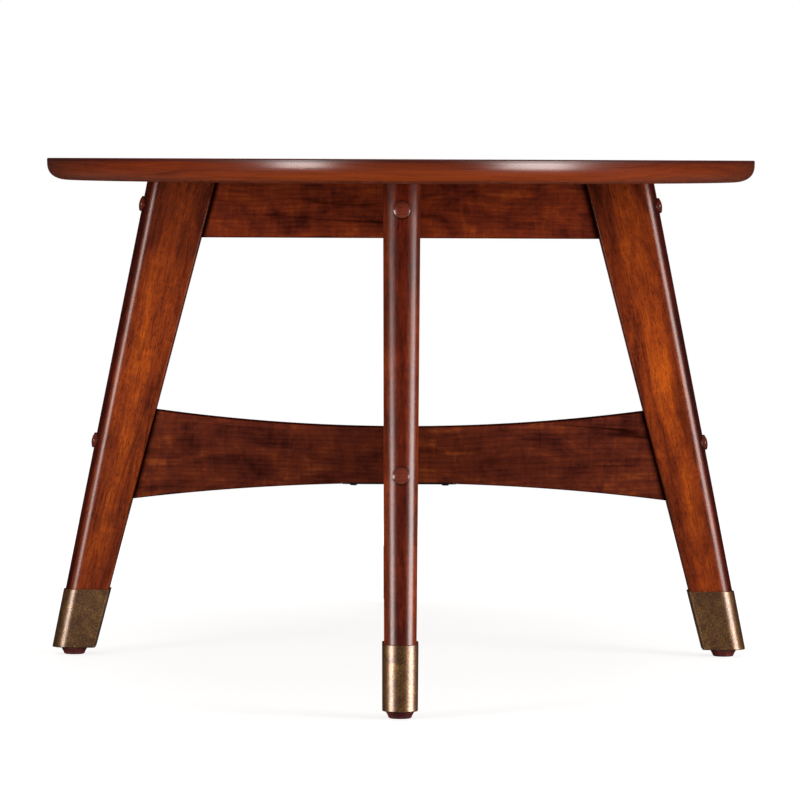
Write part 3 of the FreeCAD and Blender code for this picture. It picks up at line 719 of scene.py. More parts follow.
class Workpiece:
    """One mesh on the bench, started from a primitive and shaped with Blender's own tools."""

    def __init__(self, made: bpy.types.Object, name: str) -> None:
        """Takes up an object and names it and its mesh."""
        self.made = made
        made.name = made.data.name = name

    @classmethod
    def start(cls, name: str, primitive: str, **settings: object) -> "Workpiece":
        """Starts from one of Blender's primitives, with its place moved into its mesh.

        Args:
            name: The piece's name.
            primitive: The primitive's name.
            **settings: Its sizes and its place.

        Returns:
            The new piece.
        """
        bpy.ops.object.select_all(action="DESELECT")
        getattr(bpy.ops.mesh, f"primitive_{primitive}_add")(**settings)
        bpy.ops.object.transform_apply(location=True, rotation=True, scale=True)
        return cls(bpy.context.object, name)

    @classmethod
    def block(cls, name: str, low: Sequence[float], high: Sequence[float]) -> "Workpiece":
        """Starts from a block, by its lowest and its highest corner."""
        low, high = Vector(low), Vector(high)
        return cls.start(name, "cube", size=1.0, location=(low + high) / 2, scale=high - low)

    @classmethod
    def rod(cls, name: str, start: Vector, end: Vector, diameter: float, sides: int = 48) -> "Workpiece":
        """Starts from a round rod.

        Args:
            name: The piece's name.
            start: The middle of its first end.
            end: The middle of its second end.
            diameter: Its diameter.
            sides: How many sides its circle has.

        Returns:
            The new piece.
        """
        along = end - start
        return cls.start(
            name,
            "cylinder",
            vertices=sides,
            radius=diameter / 2,
            depth=along.length,
            location=(start + end) / 2,
            rotation=along.to_track_quat("Z", "Y").to_euler(),
        )

    def take_up(self) -> None:
        """Makes this the one selected and active piece."""
        bpy.ops.object.select_all(action="DESELECT")
        self.made.select_set(True)
        bpy.context.view_layer.objects.active = self.made

    @contextmanager
    def shaping(self) -> Iterator[None]:
        """Holds the piece in edit mode.

        Yields:
            Nothing, once the piece is in edit mode.
        """
        self.take_up()
        bpy.ops.object.mode_set(mode="EDIT")
        yield
        bpy.ops.object.mode_set(mode="OBJECT")

    def pick(self, kind: str, test: Callable[[object], bool]) -> None:
        """Selects what passes a test, in edit mode.

        Args:
            kind: VERT, EDGE or FACE.
            test: Says of one vertex, edge or face whether it is wanted.
        """
        bpy.ops.mesh.select_mode(type=kind)
        bpy.ops.mesh.select_all(action="DESELECT")
        mesh = bmesh.from_edit_mesh(self.made.data)
        mesh.normal_update()
        wanted = {"VERT": mesh.verts, "EDGE": mesh.edges, "FACE": mesh.faces}[kind]
        for item in [item for item in wanted if test(item)]:
            item.select_set(True)
        bmesh.update_edit_mesh(self.made.data)

    def pick_level(self, facing: int, least: float = LEVEL_SHARE) -> None:
        """Selects the faces that look up, for 1, or down, for -1, in edit mode."""
        self.pick("FACE", lambda face: face.normal.z * facing > least)

    def pick_all(self) -> None:
        """Selects the whole piece, in edit mode."""
        bpy.ops.mesh.select_all(action="SELECT")

    def round_edges(self, test: Callable[[Edge], bool], radius: float, segments: int) -> None:
        """Rounds the edges that pass a test, each with so many flats, in edit mode."""
        self.pick("EDGE", test)
        bpy.ops.mesh.bevel(offset=radius, segments=segments, affect="EDGES", clamp_overlap=False)

    def slice_at(self, point: Vector, normal: Vector, clear_below: bool = False) -> None:
        """Adds edges where a plane cuts the piece, and can clear what is behind it, in edit mode."""
        self.pick_all()
        bpy.ops.mesh.bisect(plane_co=point, plane_no=normal, clear_inner=clear_below, threshold=TOUCH)

    def extrude(
        self, step: Sequence[float], scale: Sequence[float] = (1, 1, 1), about: Sequence[float] = (0, 0, 0)
    ) -> None:
        """Extrudes what is selected by a step and scales its new end about a point, in edit mode."""
        bpy.ops.mesh.extrude_region_move(TRANSFORM_OT_translate={"value": step})
        bpy.ops.transform.resize(value=scale, center_override=about)

    def apply(self, kind: str, **settings: object) -> None:
        """Adds a modifier and applies it at once.

        Args:
            kind: The modifier's type.
            **settings: Properties to set on it.
        """
        self.take_up()
        modifier = self.made.modifiers.new(kind.lower(), kind)
        for name, value in settings.items():
            setattr(modifier, name, value)
        bpy.ops.object.modifier_apply(modifier=modifier.name)

    def cut(self, cutters: Sequence["Workpiece"]) -> None:
        """Cuts other pieces out of this one and takes them off the bench.

        Args:
            cutters: The pieces to cut with.
        """
        for cutter in cutters:
            self.apply("BOOLEAN", operation="DIFFERENCE", solver="EXACT", object=cutter.made)
            cutter.discard()

    def smooth(self, degrees: float = 35.0) -> None:
        """Smooths the rounds and keeps flats flat and sharp edges sharp.

        Args:
            degrees: The angle past which an edge stays sharp.
        """
        self.take_up()
        bpy.ops.object.shade_smooth_by_angle(angle=math.radians(degrees))
        self.apply("WEIGHTED_NORMAL", keep_sharp=True)

    def copy(self, name: str, placing: Matrix) -> "Workpiece":
        """Makes a copy with a mesh of its own.

        Args:
            name: The copy's name.
            placing: Where the copy goes, from where this piece is.

        Returns:
            The copy.
        """
        made = self.made.copy()
        made.data = self.made.data.copy()
        made.data.transform(placing)
        bpy.context.scene.collection.objects.link(made)
        return Workpiece(made, name)

    def discard(self) -> None:
        """Takes the piece off the bench."""
        bpy.data.objects.remove(self.made)

    def lay_grain(self, read: GrainReader) -> None:
        """Writes how the piece lies in the plank that it was cut from.

        Args:
            read: Gives a corner's grain coordinates, in metres along, across and through the plank, and its
                place in the plank: metres from the nearest joint, -1 to 1 across it and 0 to 1 along it.
        """
        mesh = self.made.data
        for name in ("grain", "place"):
            mesh.attributes.new(name, "FLOAT_VECTOR", "CORNER")
        grain, place = (mesh.attributes[name].data for name in ("grain", "place"))
        for face in mesh.polygons:
            normal, center = face.normal, face.center
            for index in face.loop_indices:
                point = mesh.vertices[mesh.loops[index].vertex_index].co
                grain[index].vector, place[index].vector = read(Corner(point, normal, center))

    def shift_grain(self, shift: Vector) -> None:
        """Moves the piece to another part of the log, in metres along, across and through it."""
        for item in self.made.data.attributes["grain"].data:
            item.vector = Vector(item.vector) + shift

    def settle(self, material: bpy.types.Material, node: str, body: str, slot: str) -> None:
        """Dresses the finished piece and sets it in its node's place.

        Args:
            material: Its finish.
            node: The CAD node that it stands for.
            body: The body that it rides on.
            slot: The record's material slot; not used.
        """
        self.made.data.materials.clear()
        self.made.data.materials.append(material)
        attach(self.made, body)
        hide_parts(node)
        faces = len(self.made.data.polygons)
        log.info("%s stands for %s on %s, %d faces", self.made.name, node, body, faces)


@dataclass(frozen=True)
class LegForm:
    """The tapering, splayed leg that boards, cups and buttons are set against.

    It is built along +X. Its places along X are measured from its reach, the point of the floor that its
    outer edge runs to.
    """

    underside: float
    end: float
    splay: float = 0.082
    top_width: float = 0.060
    foot_width: float = 0.0345
    top_thickness: float = 0.0296
    foot_thickness: float = 0.0246
    outer_round: float = 0.0115
    outer_segments: int = 12
    inner_round: float = 0.002
    inner_segments: int = 4

    @classmethod
    def from_frame(cls) -> "LegForm":
        """Takes the leg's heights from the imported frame."""
        low, high = box_of("leg_right")
        return cls(underside=high.z, end=low.z)

    @property
    def slope(self) -> float:
        """How far the outer edge draws in for each metre up."""
        return self.splay / self.underside

    @property
    def outward(self) -> Vector:
        """The direction square to the outer edge, out of the leg."""
        angle = math.atan(self.slope)
        return Vector((math.cos(angle), 0, math.sin(angle)))

    def outer(self, z: float) -> float:
        """Where the outer edge is at a height."""
        return -self.slope * z

    def width(self, z: float) -> float:
        """How wide the leg is at a height."""
        return self.foot_width + (self.top_width - self.foot_width) * z / self.underside

    def inner(self, z: float) -> float:
        """Where the inner edge is at a height."""
        return self.outer(z) - self.width(z)

    def middle(self, z: float) -> float:
        """Where the leg's middle line is at a height."""
        return (self.outer(z) + self.inner(z)) / 2

    def thickness(self, z: float) -> float:
        """How thick the leg is at a height."""
        return self.foot_thickness + (self.top_thickness - self.foot_thickness) * z / self.underside

    def reach(self, side: Side) -> float:
        """Where the outer edge of a side's leg meets the floor, from the table's middle."""
        return side.reach_of("leg_" + side.word) + self.slope * self.end

    def standing(self, side: Side) -> Matrix:
        """Where a piece that was built against the leg goes for a side."""
        return side.turn @ Matrix.Translation((self.reach(side), 0, 0))

    def crown(self, joint_height: float) -> Vector:
        """Where the line of a bolt that meets the inner edge at a height leaves the outer edge."""
        depth = self.width(joint_height) * self.outward.x
        return Vector((self.inner(joint_height), 0, joint_height)) + self.outward * depth

    def blank(self, name: str, low: float, high: float, grow: float) -> Workpiece:
        """Models the leg, or a grown copy of it, between two heights.

        Args:
            name: The piece's name.
            low: The height of its lower end.
            high: The height of its upper end.
            grow: How much larger it is all round.

        Returns:
            The rounded prism.
        """
        piece = Workpiece.block(name, (-0.5, -0.5, low), (0.5, 0.5, high))

        def upright(edge: Edge) -> bool:
            """Whether an edge runs from end to end."""
            first, second = edge.verts
            return abs(first.co.z - second.co.z) > (high - low) / 2

        def outside(edge: Edge) -> bool:
            """Whether an upright edge is on the leg's outer side."""
            return all(vert.co.x > self.middle(vert.co.z) for vert in edge.verts)

        with piece.shaping():
            for z, facing in ((low, -1), (high, 1)):
                piece.pick_level(facing)
                size = (self.width(z) + 2 * grow, self.thickness(z) + 2 * grow, 1)
                bpy.ops.transform.resize(value=size, center_override=(0, 0, z))
                bpy.ops.transform.translate(value=(self.middle(z), 0, 0))
            heel = self.inner_round + grow
            piece.round_edges(lambda edge: upright(edge) and not outside(edge), heel, self.inner_segments)
            crown = self.outer_round + grow
            piece.round_edges(lambda edge: upright(edge) and outside(edge), crown, self.outer_segments)
            self._crown(piece, (low, high), crown, grow)
        return piece

    def _crown(self, piece: Workpiece, ends: Sequence[float], crown: float, grow: float) -> None:
        """Draws the two rounds of the outer edge into one half ellipse, in edit mode.

        Args:
            piece: The rounded prism.
            ends: The heights of its two ends.
            crown: The radius of its outer rounds, which stays the ellipse's depth.
            grow: How much larger than the leg it is all round.
        """
        mesh = bmesh.from_edit_mesh(piece.made.data)
        for z in ends:
            half = self.thickness(z) / 2 + grow
            flat = half - crown
            start = self.outer(z) + grow - crown
            for vert in mesh.verts:
                if abs(vert.co.z - z) < TOUCH and vert.co.x > start - TOUCH:
                    vert.co.y = math.copysign((abs(vert.co.y) - flat) / crown * half, vert.co.y)
        bmesh.update_edit_mesh(piece.made.data)
        piece.pick_all()
        bpy.ops.mesh.remove_doubles(threshold=WELD)


@dataclass
class Legs:
    """The four wooden legs and the domed buttons over their bolts."""

    form: LegForm
    end_wood: StainedWood
    side_wood: StainedWood
    button_wood: StainedWood
    bolt_heights: tuple[float, float] = (0.3815, 0.178)
    button_diameter: float = 0.0134
    button_clearance: float = 0.0001
    button_stem: float = 0.0095
    button_rise: float = 0.0015
    button_dome: float = 0.0017
    button_round: float = 0.0010
    insert_hole: float = 0.0101
    insert_depth: float = 0.014
    stud_hole: float = 0.0076
    stud_depth: float = 0.026
    slices: int = 28
    # How far along, across and through the log one leg or one pair of buttons lies from the next
    leg_step: Triple = (1.37, 0.23, 0.11)
    button_start: Triple = (1.55, 0.85, 0.25)
    button_step: Triple = (0.62, 0.34, 0.10)
    # The part of a leg, across it, that the painted shade round the buttons reaches
    shaded_from: float = 0.3

    def build(self) -> None:
        """Models one leg and one button and sets their copies on every side."""
        woods = {Side.FRONT: self.end_wood, Side.BACK: self.end_wood}
        finishes = {wood: wood.material() for wood in (self.end_wood, self.side_wood)}
        button_finish = self.button_wood.material()
        leg = self._leg()
        button = self._button()
        facing = self.form.outward.to_track_quat("Z", "Y").to_matrix().to_4x4()
        for number, side in enumerate(Side):
            standing = self.form.standing(side)
            copy = leg.copy(f"{side.word}_leg", standing)
            copy.shift_grain(Vector(self.leg_step) * number)
            wood = woods.get(side, self.side_wood)
            copy.settle(finishes[wood], f"leg_{side.word}", "frame", wood.slot)
            for level, height in zip(Level, self.bolt_heights):
                placing = standing @ Matrix.Translation(self.form.crown(height)) @ facing
                knob = button.copy(f"{side.word}_{level.value}_button", placing)
                knob.shift_grain(Vector(self.button_start) + Vector(self.button_step) * number)
                node = f"button_{level.value}_{side.word}"
                knob.settle(button_finish, node, "frame", self.button_wood.slot)
        leg.discard()
        button.discard()

    def _leg(self) -> Workpiece:
        """Models the leg, with its button and glide holes, built along +X.

        Returns:
            The leg.
        """
        form = self.form
        rise = form.underside - form.end
        leg = form.blank("leg", form.end, form.underside, 0.0)
        heights = [form.end + rise * i / self.slices for i in range(1, self.slices)]
        crowns = [form.crown(height) for height in self.bolt_heights]
        for crown in crowns:
            heights += [crown.z - self.button_diameter, crown.z + self.button_diameter]
        with leg.shaping():
            for height in heights:
                leg.slice_at(Vector((0, 0, height)), UP)
        hole = self.button_diameter + 2 * self.button_clearance
        cutters = []
        for crown in crowns:
            bottom = crown - form.outward * self.button_stem
            cutters.append(Workpiece.rod("pocket", bottom, crown + form.outward * hole, hole))
        foot = Vector((form.middle(form.end), 0, form.end))
        for diameter, depth in ((self.insert_hole, self.insert_depth), (self.stud_hole, self.stud_depth)):
            cutters.append(Workpiece.rod("bore", foot - UP * depth, foot + UP * depth, diameter))
        leg.cut(cutters)
        leg.smooth()
        axis = Vector((form.middle(form.underside) - form.middle(form.end), 0, rise))
        axis.normalize()
        square = Vector((axis.z, 0, -axis.x))

        def read(corner: Corner) -> tuple[Vector, Vector]:
            """Reads one corner of the leg.

            Args:
                corner: The corner.

            Returns:
                Its grain coordinates and its place in the plank.
            """
            point = corner.point
            across = (point.x - form.middle(point.z)) / form.width(point.z) * 2
            along = (point.z - form.end) / rise
            from_joint = form.underside - point.z
            # Round the buttons the painted joint shade darkens the leg too
            if across > self.shaded_from:
                gaps = ((point - crown).cross(form.outward).length - hole / 2 for crown in crowns)
                from_joint = max(min(from_joint, *gaps), 0)
            grain = Vector((point.dot(axis), point.dot(square), point.y))
            return grain, Vector((from_joint, across, along))

        leg.lay_grain(read)
        return leg

    def _button(self) -> Workpiece:
        """Models a button, with its seat at the origin and its dome along +Z.

        Returns:
            The button.
        """
        radius = self.button_diameter / 2
        dome_radius = (radius**2 + self.button_dome**2) / (2 * self.button_dome)
        center = UP * (self.button_rise + self.button_dome - dome_radius)
        button = Workpiece.start(
            "button", "uv_sphere", segments=48, ring_count=96, radius=dome_radius, location=center
        )
        lowest_rim = self.button_rise - self.button_round / 2
        nearly_radius = radius * 0.999

        def on_rim(edge: Edge) -> bool:
            """Whether an edge lies on the circle where the dome meets the stem."""
            above = all(vert.co.z > lowest_rim for vert in edge.verts)
            return above and outside_circle(edge, nearly_radius)

        with button.shaping():
            button.slice_at(UP * self.button_rise, UP, clear_below=True)
            button.pick("EDGE", lambda edge: edge.is_boundary)
            button.extrude((0, 0, -self.button_rise - self.button_stem))
            bpy.ops.mesh.edge_face_add()
            button.round_edges(on_rim, self.button_round, segments=5)
            button.pick_all()
            bpy.ops.mesh.normals_make_consistent(inside=False)
        button.smooth(degrees=50.0)
        inside_plank = Vector((radius, 0, 0.5))
        button.lay_grain(lambda corner: (corner.point, inside_plank))
        return button


@dataclass
class Ferrules:
    """The brass cups on the leg ends."""

    form: LegForm
    brass: AgedBrass
    wall: float = 0.0012
    clearance: float = 0.0003
    lip_round: float = 0.0005
    foot_round: float = 0.0007
    stud_hole: float = 0.0076

    def build(self) -> None:
        """Models one cup and sets its copies under every leg."""
        finish = self.brass.material()
        cup = self._cup()
        for side in Side:
            copy = cup.copy(f"{side.word}_ferrule", self.form.standing(side))
            copy.settle(finish, f"ferrule_{side.word}", "frame", self.brass.slot)
        cup.discard()

    def _cup(self) -> Workpiece:
        """Models the cup round a leg that is built along +X.

        Returns:
            The cup.
        """
        form = self.form
        low, high = (corner.z for corner in box_of("ferrule_right"))
        floor = low + self.wall
        both = 2 * self.clearance
        cup = form.blank("cup", low, high, self.wall + self.clearance)
        with cup.shaping():
            cup.pick_level(1)
            bpy.ops.mesh.inset(thickness=self.wall, use_even_offset=True)
            narrower = (form.width(floor) + both) / (form.width(high) + both)
            thinner = (form.thickness(floor) + both) / (form.thickness(high) + both)
            shift = form.middle(floor) - form.middle(high)
            cup.extrude((shift, 0, floor - high), (narrower, thinner, 1), (form.middle(floor), 0, floor))
            for z, radius, segments in ((high, self.lip_round, 3), (low, self.foot_round, 4)):
                cup.round_edges(lambda edge: level_with(edge, z) and beside_wall(edge), radius, segments)
        foot = Vector((form.middle(form.end), 0, low))
        cup.cut([Workpiece.rod("bore", foot - UP * self.wall, foot + UP * 3 * self.wall, self.stud_hole)])
        cup.smooth()
        return cup


@dataclass
class Glides:
    """The plastic feet of the levelling glides, which screw out of the leg ends."""

    plastic: MouldedPlastic
    waist: float = 0.0186
    edge_round: float = 0.0019
    rim_height: float = 0.0014
    lip_round: float = 0.0002
    pocket: float = 0.0121
    pocket_depth: float = 0.0022
    sides: int = 64
    # Height of the straight part under the flare, in edge rounds
    straight: float = 1.02

    def build(self) -> None:
        """Models one foot and sets its copies under every leg."""
        finish = self.plastic.material()
        foot = self._foot()
        for side in Side:
            low, high = box_of(f"leveler_foot_{side.word}")
            middle = (low + high) / 2
            copy = foot.copy(f"{side.word}_glide", Matrix.Translation((middle.x, middle.y, low.z)))
            copy.settle(finish, f"leveler_foot_{side.word}", f"leveler_{side.word}", self.plastic.slot)
        foot.discard()

    def _foot(self) -> Workpiece:
        """Models the foot, standing at the origin.

        Returns:
            The foot.
        """
        low, high = box_of("leveler_foot_right")
        height = high.z - low.z
        flare = (high.x - low.x) / self.waist
        straight = self.edge_round * self.straight
        foot = Workpiece.rod("foot", Vector(), UP * straight, self.waist, self.sides)
        with foot.shaping():
            foot.pick_level(1)
            foot.extrude((0, 0, height - self.rim_height - straight), (flare, flare, 1), (0, 0, height))
            foot.extrude((0, 0, self.rim_height))
            bpy.ops.mesh.inset(thickness=(self.waist * flare - self.pocket) / 2)
            foot.extrude((0, 0, -self.pocket_depth))
            foot.round_edges(
                lambda edge: level_with(edge, 0) and beside_wall(edge), self.edge_round, segments=7
            )
            foot.round_edges(
                lambda edge: level_with(edge, height) and outside_circle(edge, self.waist / 2),
                self.lip_round,
                segments=3,
            )
        foot.smooth()
        return foot


@dataclass
class Boards:
    """The aprons under the top and the waisted stretchers lower down, halved into each other."""

    form: LegForm
    apron_wood: StainedWood
    stretcher_wood: StainedWood
    waist_height: float = 0.049
    edge_round: float = 0.0015
    round_segments: int = 4
    lap_clearance: float = 0.00015
    seat_clearance: float = 0.0002
    screw_hole: float = 0.0122
    screw_grip: float = 0.024
    screws_per_side: tuple[int, int] = (1, 2)
    slices: int = 48
    # How much of the way across the plank a broad face takes up, the edges having the rest
    face_share: float = 0.6
    # How far along, across and through the log one board lies from the next
    board_step: Triple = (0.83, 0.29, 0.07)

    def build(self) -> None:
        """Models the four boards and sets them between the legs."""
        kinds = (
            ("stretcher", self._stretcher, self.stretcher_wood),
            ("apron", self._apron, self.apron_wood),
        )
        for order, (kind, model, wood) in enumerate(kinds):
            finish = wood.material()
            for number, run in enumerate(Run):
                board = model(run)
                board.smooth()
                self._lay_grain(board, run)
                board.shift_grain(Vector(self.board_step) * (number + len(Run) * order))
                placed = board.copy(f"{run.word}wise_{kind}", run.value.turn)
                placed.settle(finish, f"{run.word}_{kind}", "frame", wood.slot)
                board.discard()

    @staticmethod
    def _extent(run: Run, kind: str) -> Triple:
        """A board's lowest and highest height and its thickness, as its node has them."""
        low, high = box_of(f"{run.word}_{kind}")
        return low.z, high.z, min(high.x - low.x, high.y - low.y)

    def _joint(self, run: Run, z: float) -> float:
        """How far from the middle a board ends at a height."""
        return self.form.reach(run.value) + self.form.inner(z)

    def _blank(self, run: Run, kind: str, drop: Callable[[float, float, bool], float]) -> Workpiece:
        """Models a board along X, before its joints are cut.

        Args:
            run: Which way the board runs.
            kind: The board's kind, as its node spells it.
            drop: Gives how far an edge rises, from the place along the board, the half length there and
                whether it is the upper edge.

        Returns:
            The rounded board.
        """
        low, high, thickness = self._extent(run, kind)
        half = thickness / 2
        ends = {z: self._joint(run, z) for z in (low, high)}
        least = max(ends.values()) / self.slices
        shares = [2 * index / self.slices - 1 for index in range(1, self.slices)]
        board = Workpiece.block(kind, (-1, -half, low), (1, half, high))

        def long_edge(edge: Edge) -> bool:
            """Whether an edge runs along the upper or the lower outline of a broad face."""
            facing = {round(face.normal.y) for face in edge.link_faces}
            return facing in ({0, 1}, {0, -1}) and abs(edge.verts[0].co.x - edge.verts[1].co.x) > least

        with board.shaping():
            for z, end in ends.items():
                board.pick("VERT", lambda vert: abs(vert.co.z - z) < TOUCH)
                bpy.ops.transform.resize(value=(end, 1, 1), center_override=(0, 0, z))
            for share in shares:
                lean = Vector((high - low, 0, -share * (ends[high] - ends[low])))
                board.slice_at(Vector((share * ends[low], 0, low)), lean)
            for z, end in ends.items():
                for share in shares:
                    x = share * end
                    board.pick("VERT", lambda vert: abs(vert.co.z - z) < TOUCH and abs(vert.co.x - x) < WELD)
                    bpy.ops.transform.translate(value=(0, 0, drop(x, end, z == high)))
            board.round_edges(long_edge, self.edge_round, self.round_segments)
        return board

    def _lap(self, run: Run, thickness: float, low: float, high: float) -> Workpiece:
        """Makes the cutter for a half lap.

        Args:
            run: Which way the notched board runs.
            thickness: The crossing board's thickness.
            low: The height of the crossing's lower edge.
            high: The height of its upper edge.

        Returns:
            The cutter: the cross board keeps its lower half, and the long board its upper half.
        """
        half = thickness / 2 + self.lap_clearance
        middle = (low + high) / 2
        spare = thickness
        bottom, top = (middle, high + spare) if run is Run.CROSS else (low - spare, middle)
        return Workpiece.block("lap", (-half, -spare, bottom), (half, spare, top))

    def _apron(self, run: Run) -> Workpiece:
        """Models an apron with its half lap and its screw holes.

        Args:
            run: Which way the apron runs.

        Returns:
            The apron, along X.
        """
        low, high, thickness = self._extent(run, "apron")
        board = self._blank(run, "apron", lambda x, end, upper: 0.0)
        cutters = [self._lap(run, thickness, low, high)]
        screws = self.screws_per_side[list(Run).index(run)]
        clear = thickness / 2
        step = (self._joint(run, (low + high) / 2) - clear) / (screws + 1)
        for index in range(screws):
            for sign in (-1, 1):
                foot = Vector((sign * (clear + step * (index + 1)), 0, low))
                top = foot + UP * (high - low - self.screw_grip)
                cutters.append(Workpiece.rod("bore", foot - UP * clear, top, self.screw_hole))
        board.cut(cutters)
        return board

    def _stretcher(self, run: Run) -> Workpiece:
        """Models a stretcher, drawn in towards its waist, with its half lap and its plate seat.

        Args:
            run: Which way the stretcher runs.

        Returns:
            The stretcher, along X.
        """
        low, high, thickness = self._extent(run, "stretcher")
        sag = (high - low - self.waist_height) / 2

        def drop(x: float, end: float, upper: bool) -> float:
            """How far an edge rises, where it is drawn in to the arc through its ends and its middle."""
            radius = (end**2 + sag**2) / (2 * sag)
            return (sag - radius + math.sqrt(radius**2 - x**2)) * (-1 if upper else 1)

        board = self._blank(run, "stretcher", drop)
        lap = self._lap(run, thickness, low + sag, high - sag)
        reach = Run.CROSS.value.reach_of("cross_plate") + self.seat_clearance
        plate_top = box_of("cross_plate")[1].z
        seat = Workpiece.block("seat", (-reach, -thickness, low), (reach, thickness, plate_top))
        board.cut([lap, seat])
        return board

    def _lay_grain(self, board: Workpiece, run: Run) -> None:
        """Runs the grain along a board.

        Args:
            board: The board, along X.
            run: Which way it will run.
        """
        heights = [vert.co.z for vert in board.made.data.vertices]
        middle = (min(heights) + max(heights)) / 2
        span = (max(heights) - min(heights)) / 2

        def read(corner: Corner) -> tuple[Vector, Vector]:
            """Reads one corner of the board.

            Args:
                corner: The corner.

            Returns:
                Its grain coordinates and its place in the plank.
            """
            point = corner.point
            end = self._joint(run, point.z)
            across = round(corner.normal.z) or self.face_share * (point.z - middle) / span
            along = (point.x / end + 1) / 2
            return Vector((point.x, point.z, point.y)), Vector((end - abs(point.x), across, along))

        board.lay_grain(read)


@dataclass
class OvalTop:
    """The oval top, with a small round on its upper edge and a rim that draws in underneath."""

    wood: StainedWood
    edge_round: float = 0.0010
    round_segments: int = 6
    rim_height: float = 0.0170
    rim_depth: float = 0.017
    rim_fullness: float = 3.0
    rim_rings: int = 20
    sides: int = 360
    # From this share of its normal that is upright a face belongs to the flat upper side
    flat_share: float = 0.9999
    # Where the rim lies in its plank: from this place across it, and so far through it
    rim_start: float = 0.2
    rim_through: float = 0.3
    # The flat sides lie in the middle of the plank, a metre from any joint
    face_place: Triple = (1, 0, 0.5)

    def build(self) -> None:
        """Models the top and sets it on the legs."""
        top = self._top()
        top.smooth()
        self._lay_grain(top)
        top.settle(self.wood.material(), "table_top", "frame", self.wood.slot)

    def _top(self) -> Workpiece:
        """Models the slab, and its rim ring by ring.

        Returns:
            The top.
        """
        low, high = box_of("table_top")
        half_width, half_length = high.x, high.y
        slab_foot = low.z + self.rim_height
        top = Workpiece.rod("oval_top", UP * slab_foot, UP * high.z, diameter=2.0, sides=self.sides)
        with top.shaping():
            top.pick_all()
            bpy.ops.transform.resize(value=(half_width, half_length, 1), center_override=(0, 0, 0))
            top.round_edges(lambda edge: level_with(edge, high.z), self.edge_round, self.round_segments)
            top.pick_level(-1)
            inset, level = 0.0, slab_foot
            for ring in range(1, self.rim_rings + 1):
                angle = math.pi / 2 * ring / self.rim_rings
                next_inset = self.rim_depth * (1 - math.cos(angle))
                next_level = slab_foot - self.rim_height * math.sin(angle) ** (2 / self.rim_fullness)
                scale = [(half - next_inset) / (half - inset) for half in (half_width, half_length)]
                top.extrude((0, 0, next_level - level), (*scale, 1), (0, 0, next_level))
                inset, level = next_inset, next_level
            bpy.ops.mesh.inset(thickness=self.rim_depth)
            top.pick_level(1, self.flat_share)
            bpy.ops.mesh.inset(thickness=self.rim_depth)
        return top

    def _lay_grain(self, top: Workpiece) -> None:
        """Runs the grain along the top's length, and round its rim.

        Args:
            top: The finished top.
        """
        low, high = box_of("table_top")
        half_width, half_length = high.x, high.y
        turns = [math.tau * step / self.sides for step in range(self.sides + 1)]
        oval = [Vector((half_width * math.sin(turn), half_length * math.cos(turn))) for turn in turns]
        around = [0.0]
        for first, second in zip(oval, oval[1:]):
            around.append(around[-1] + (second - first).length)

        def turn_of(point: Vector) -> float:
            """How far round the oval a point is, from 0 to 1 turn."""
            return math.atan2(point.x / half_width, point.y / half_length) / math.tau % 1

        def arc(corner: Corner) -> float:
            """Measures how far round the rim a corner is, unbroken within its face.

            Args:
                corner: The corner.

            Returns:
                The length along the rim, in metres.
            """
            turn = turn_of(corner.point)
            place = (turn - round(turn - turn_of(corner.center))) * self.sides
            index = min(max(int(place), 0), self.sides - 1)
            return around[index] + (place - index) * (around[index + 1] - around[index])

        def read(corner: Corner) -> tuple[Vector, Vector]:
            """Reads one corner of the top.

            Args:
                corner: The corner.

            Returns:
                Its grain coordinates and its place in the plank.
            """
            point = corner.point
            joint, middle, halfway = self.face_place
            if abs(corner.normal.z) > LEVEL_SHARE:
                return Vector((point.y, point.x, point.z)), Vector((joint, middle, halfway))
            up = (point.z - low.z) / (high.z - low.z)
            across = self.rim_start + (1 - self.rim_start) * up
            return Vector((arc(corner), point.z, self.rim_through)), Vector((joint, across, halfway))

        top.lay_grain(read)


@dataclass
class Fittings:
    """The pieces that keep their solids: what is in the joints, and the plate and its screws."""

    zinc: PlatedSteel
    black: PlatedSteel
    beech: BareDowel

    def build(self) -> None:
        """Gives every CAD node that still shows its finish."""
        zinc, black, beech = self.zinc.material(), self.black.material(), self.beech.material()
        for name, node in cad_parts.items():
            if node.hide_render:
                continue
            finish = zinc
            if "dowels" in name:
                finish = beech
            elif "plate" in name:
                finish = black
            node.data.materials.clear()
            node.data.materials.append(finish)
            log.info("%s keeps its solid, in %s", name, finish.name)


@dataclass(frozen=True)
class Softbox:
    """A rectangular softbox that faces a point."""

    name: str
    center: Triple
    aim: Triple
    width: float
    height: float
    radiance: float
    in_gloss: bool = True

    def build(self) -> None:
        """Hangs the lamp where the camera doesn't see it."""
        lamp = bpy.data.lights.new(self.name, "AREA")
        lamp.shape = "RECTANGLE"
        lamp.size = self.width
        lamp.size_y = self.height
        lamp.energy = self.radiance * math.pi * self.width * self.height
        holder = bpy.data.objects.new(self.name, lamp)
        facing = (Vector(self.aim) - Vector(self.center)).to_track_quat("-Z", "Y").to_matrix().to_4x4()
        holder.matrix_world = Matrix.Translation(self.center) @ facing
        holder.visible_camera = False
        holder.visible_glossy = self.in_gloss
        bpy.context.scene.collection.objects.link(holder)


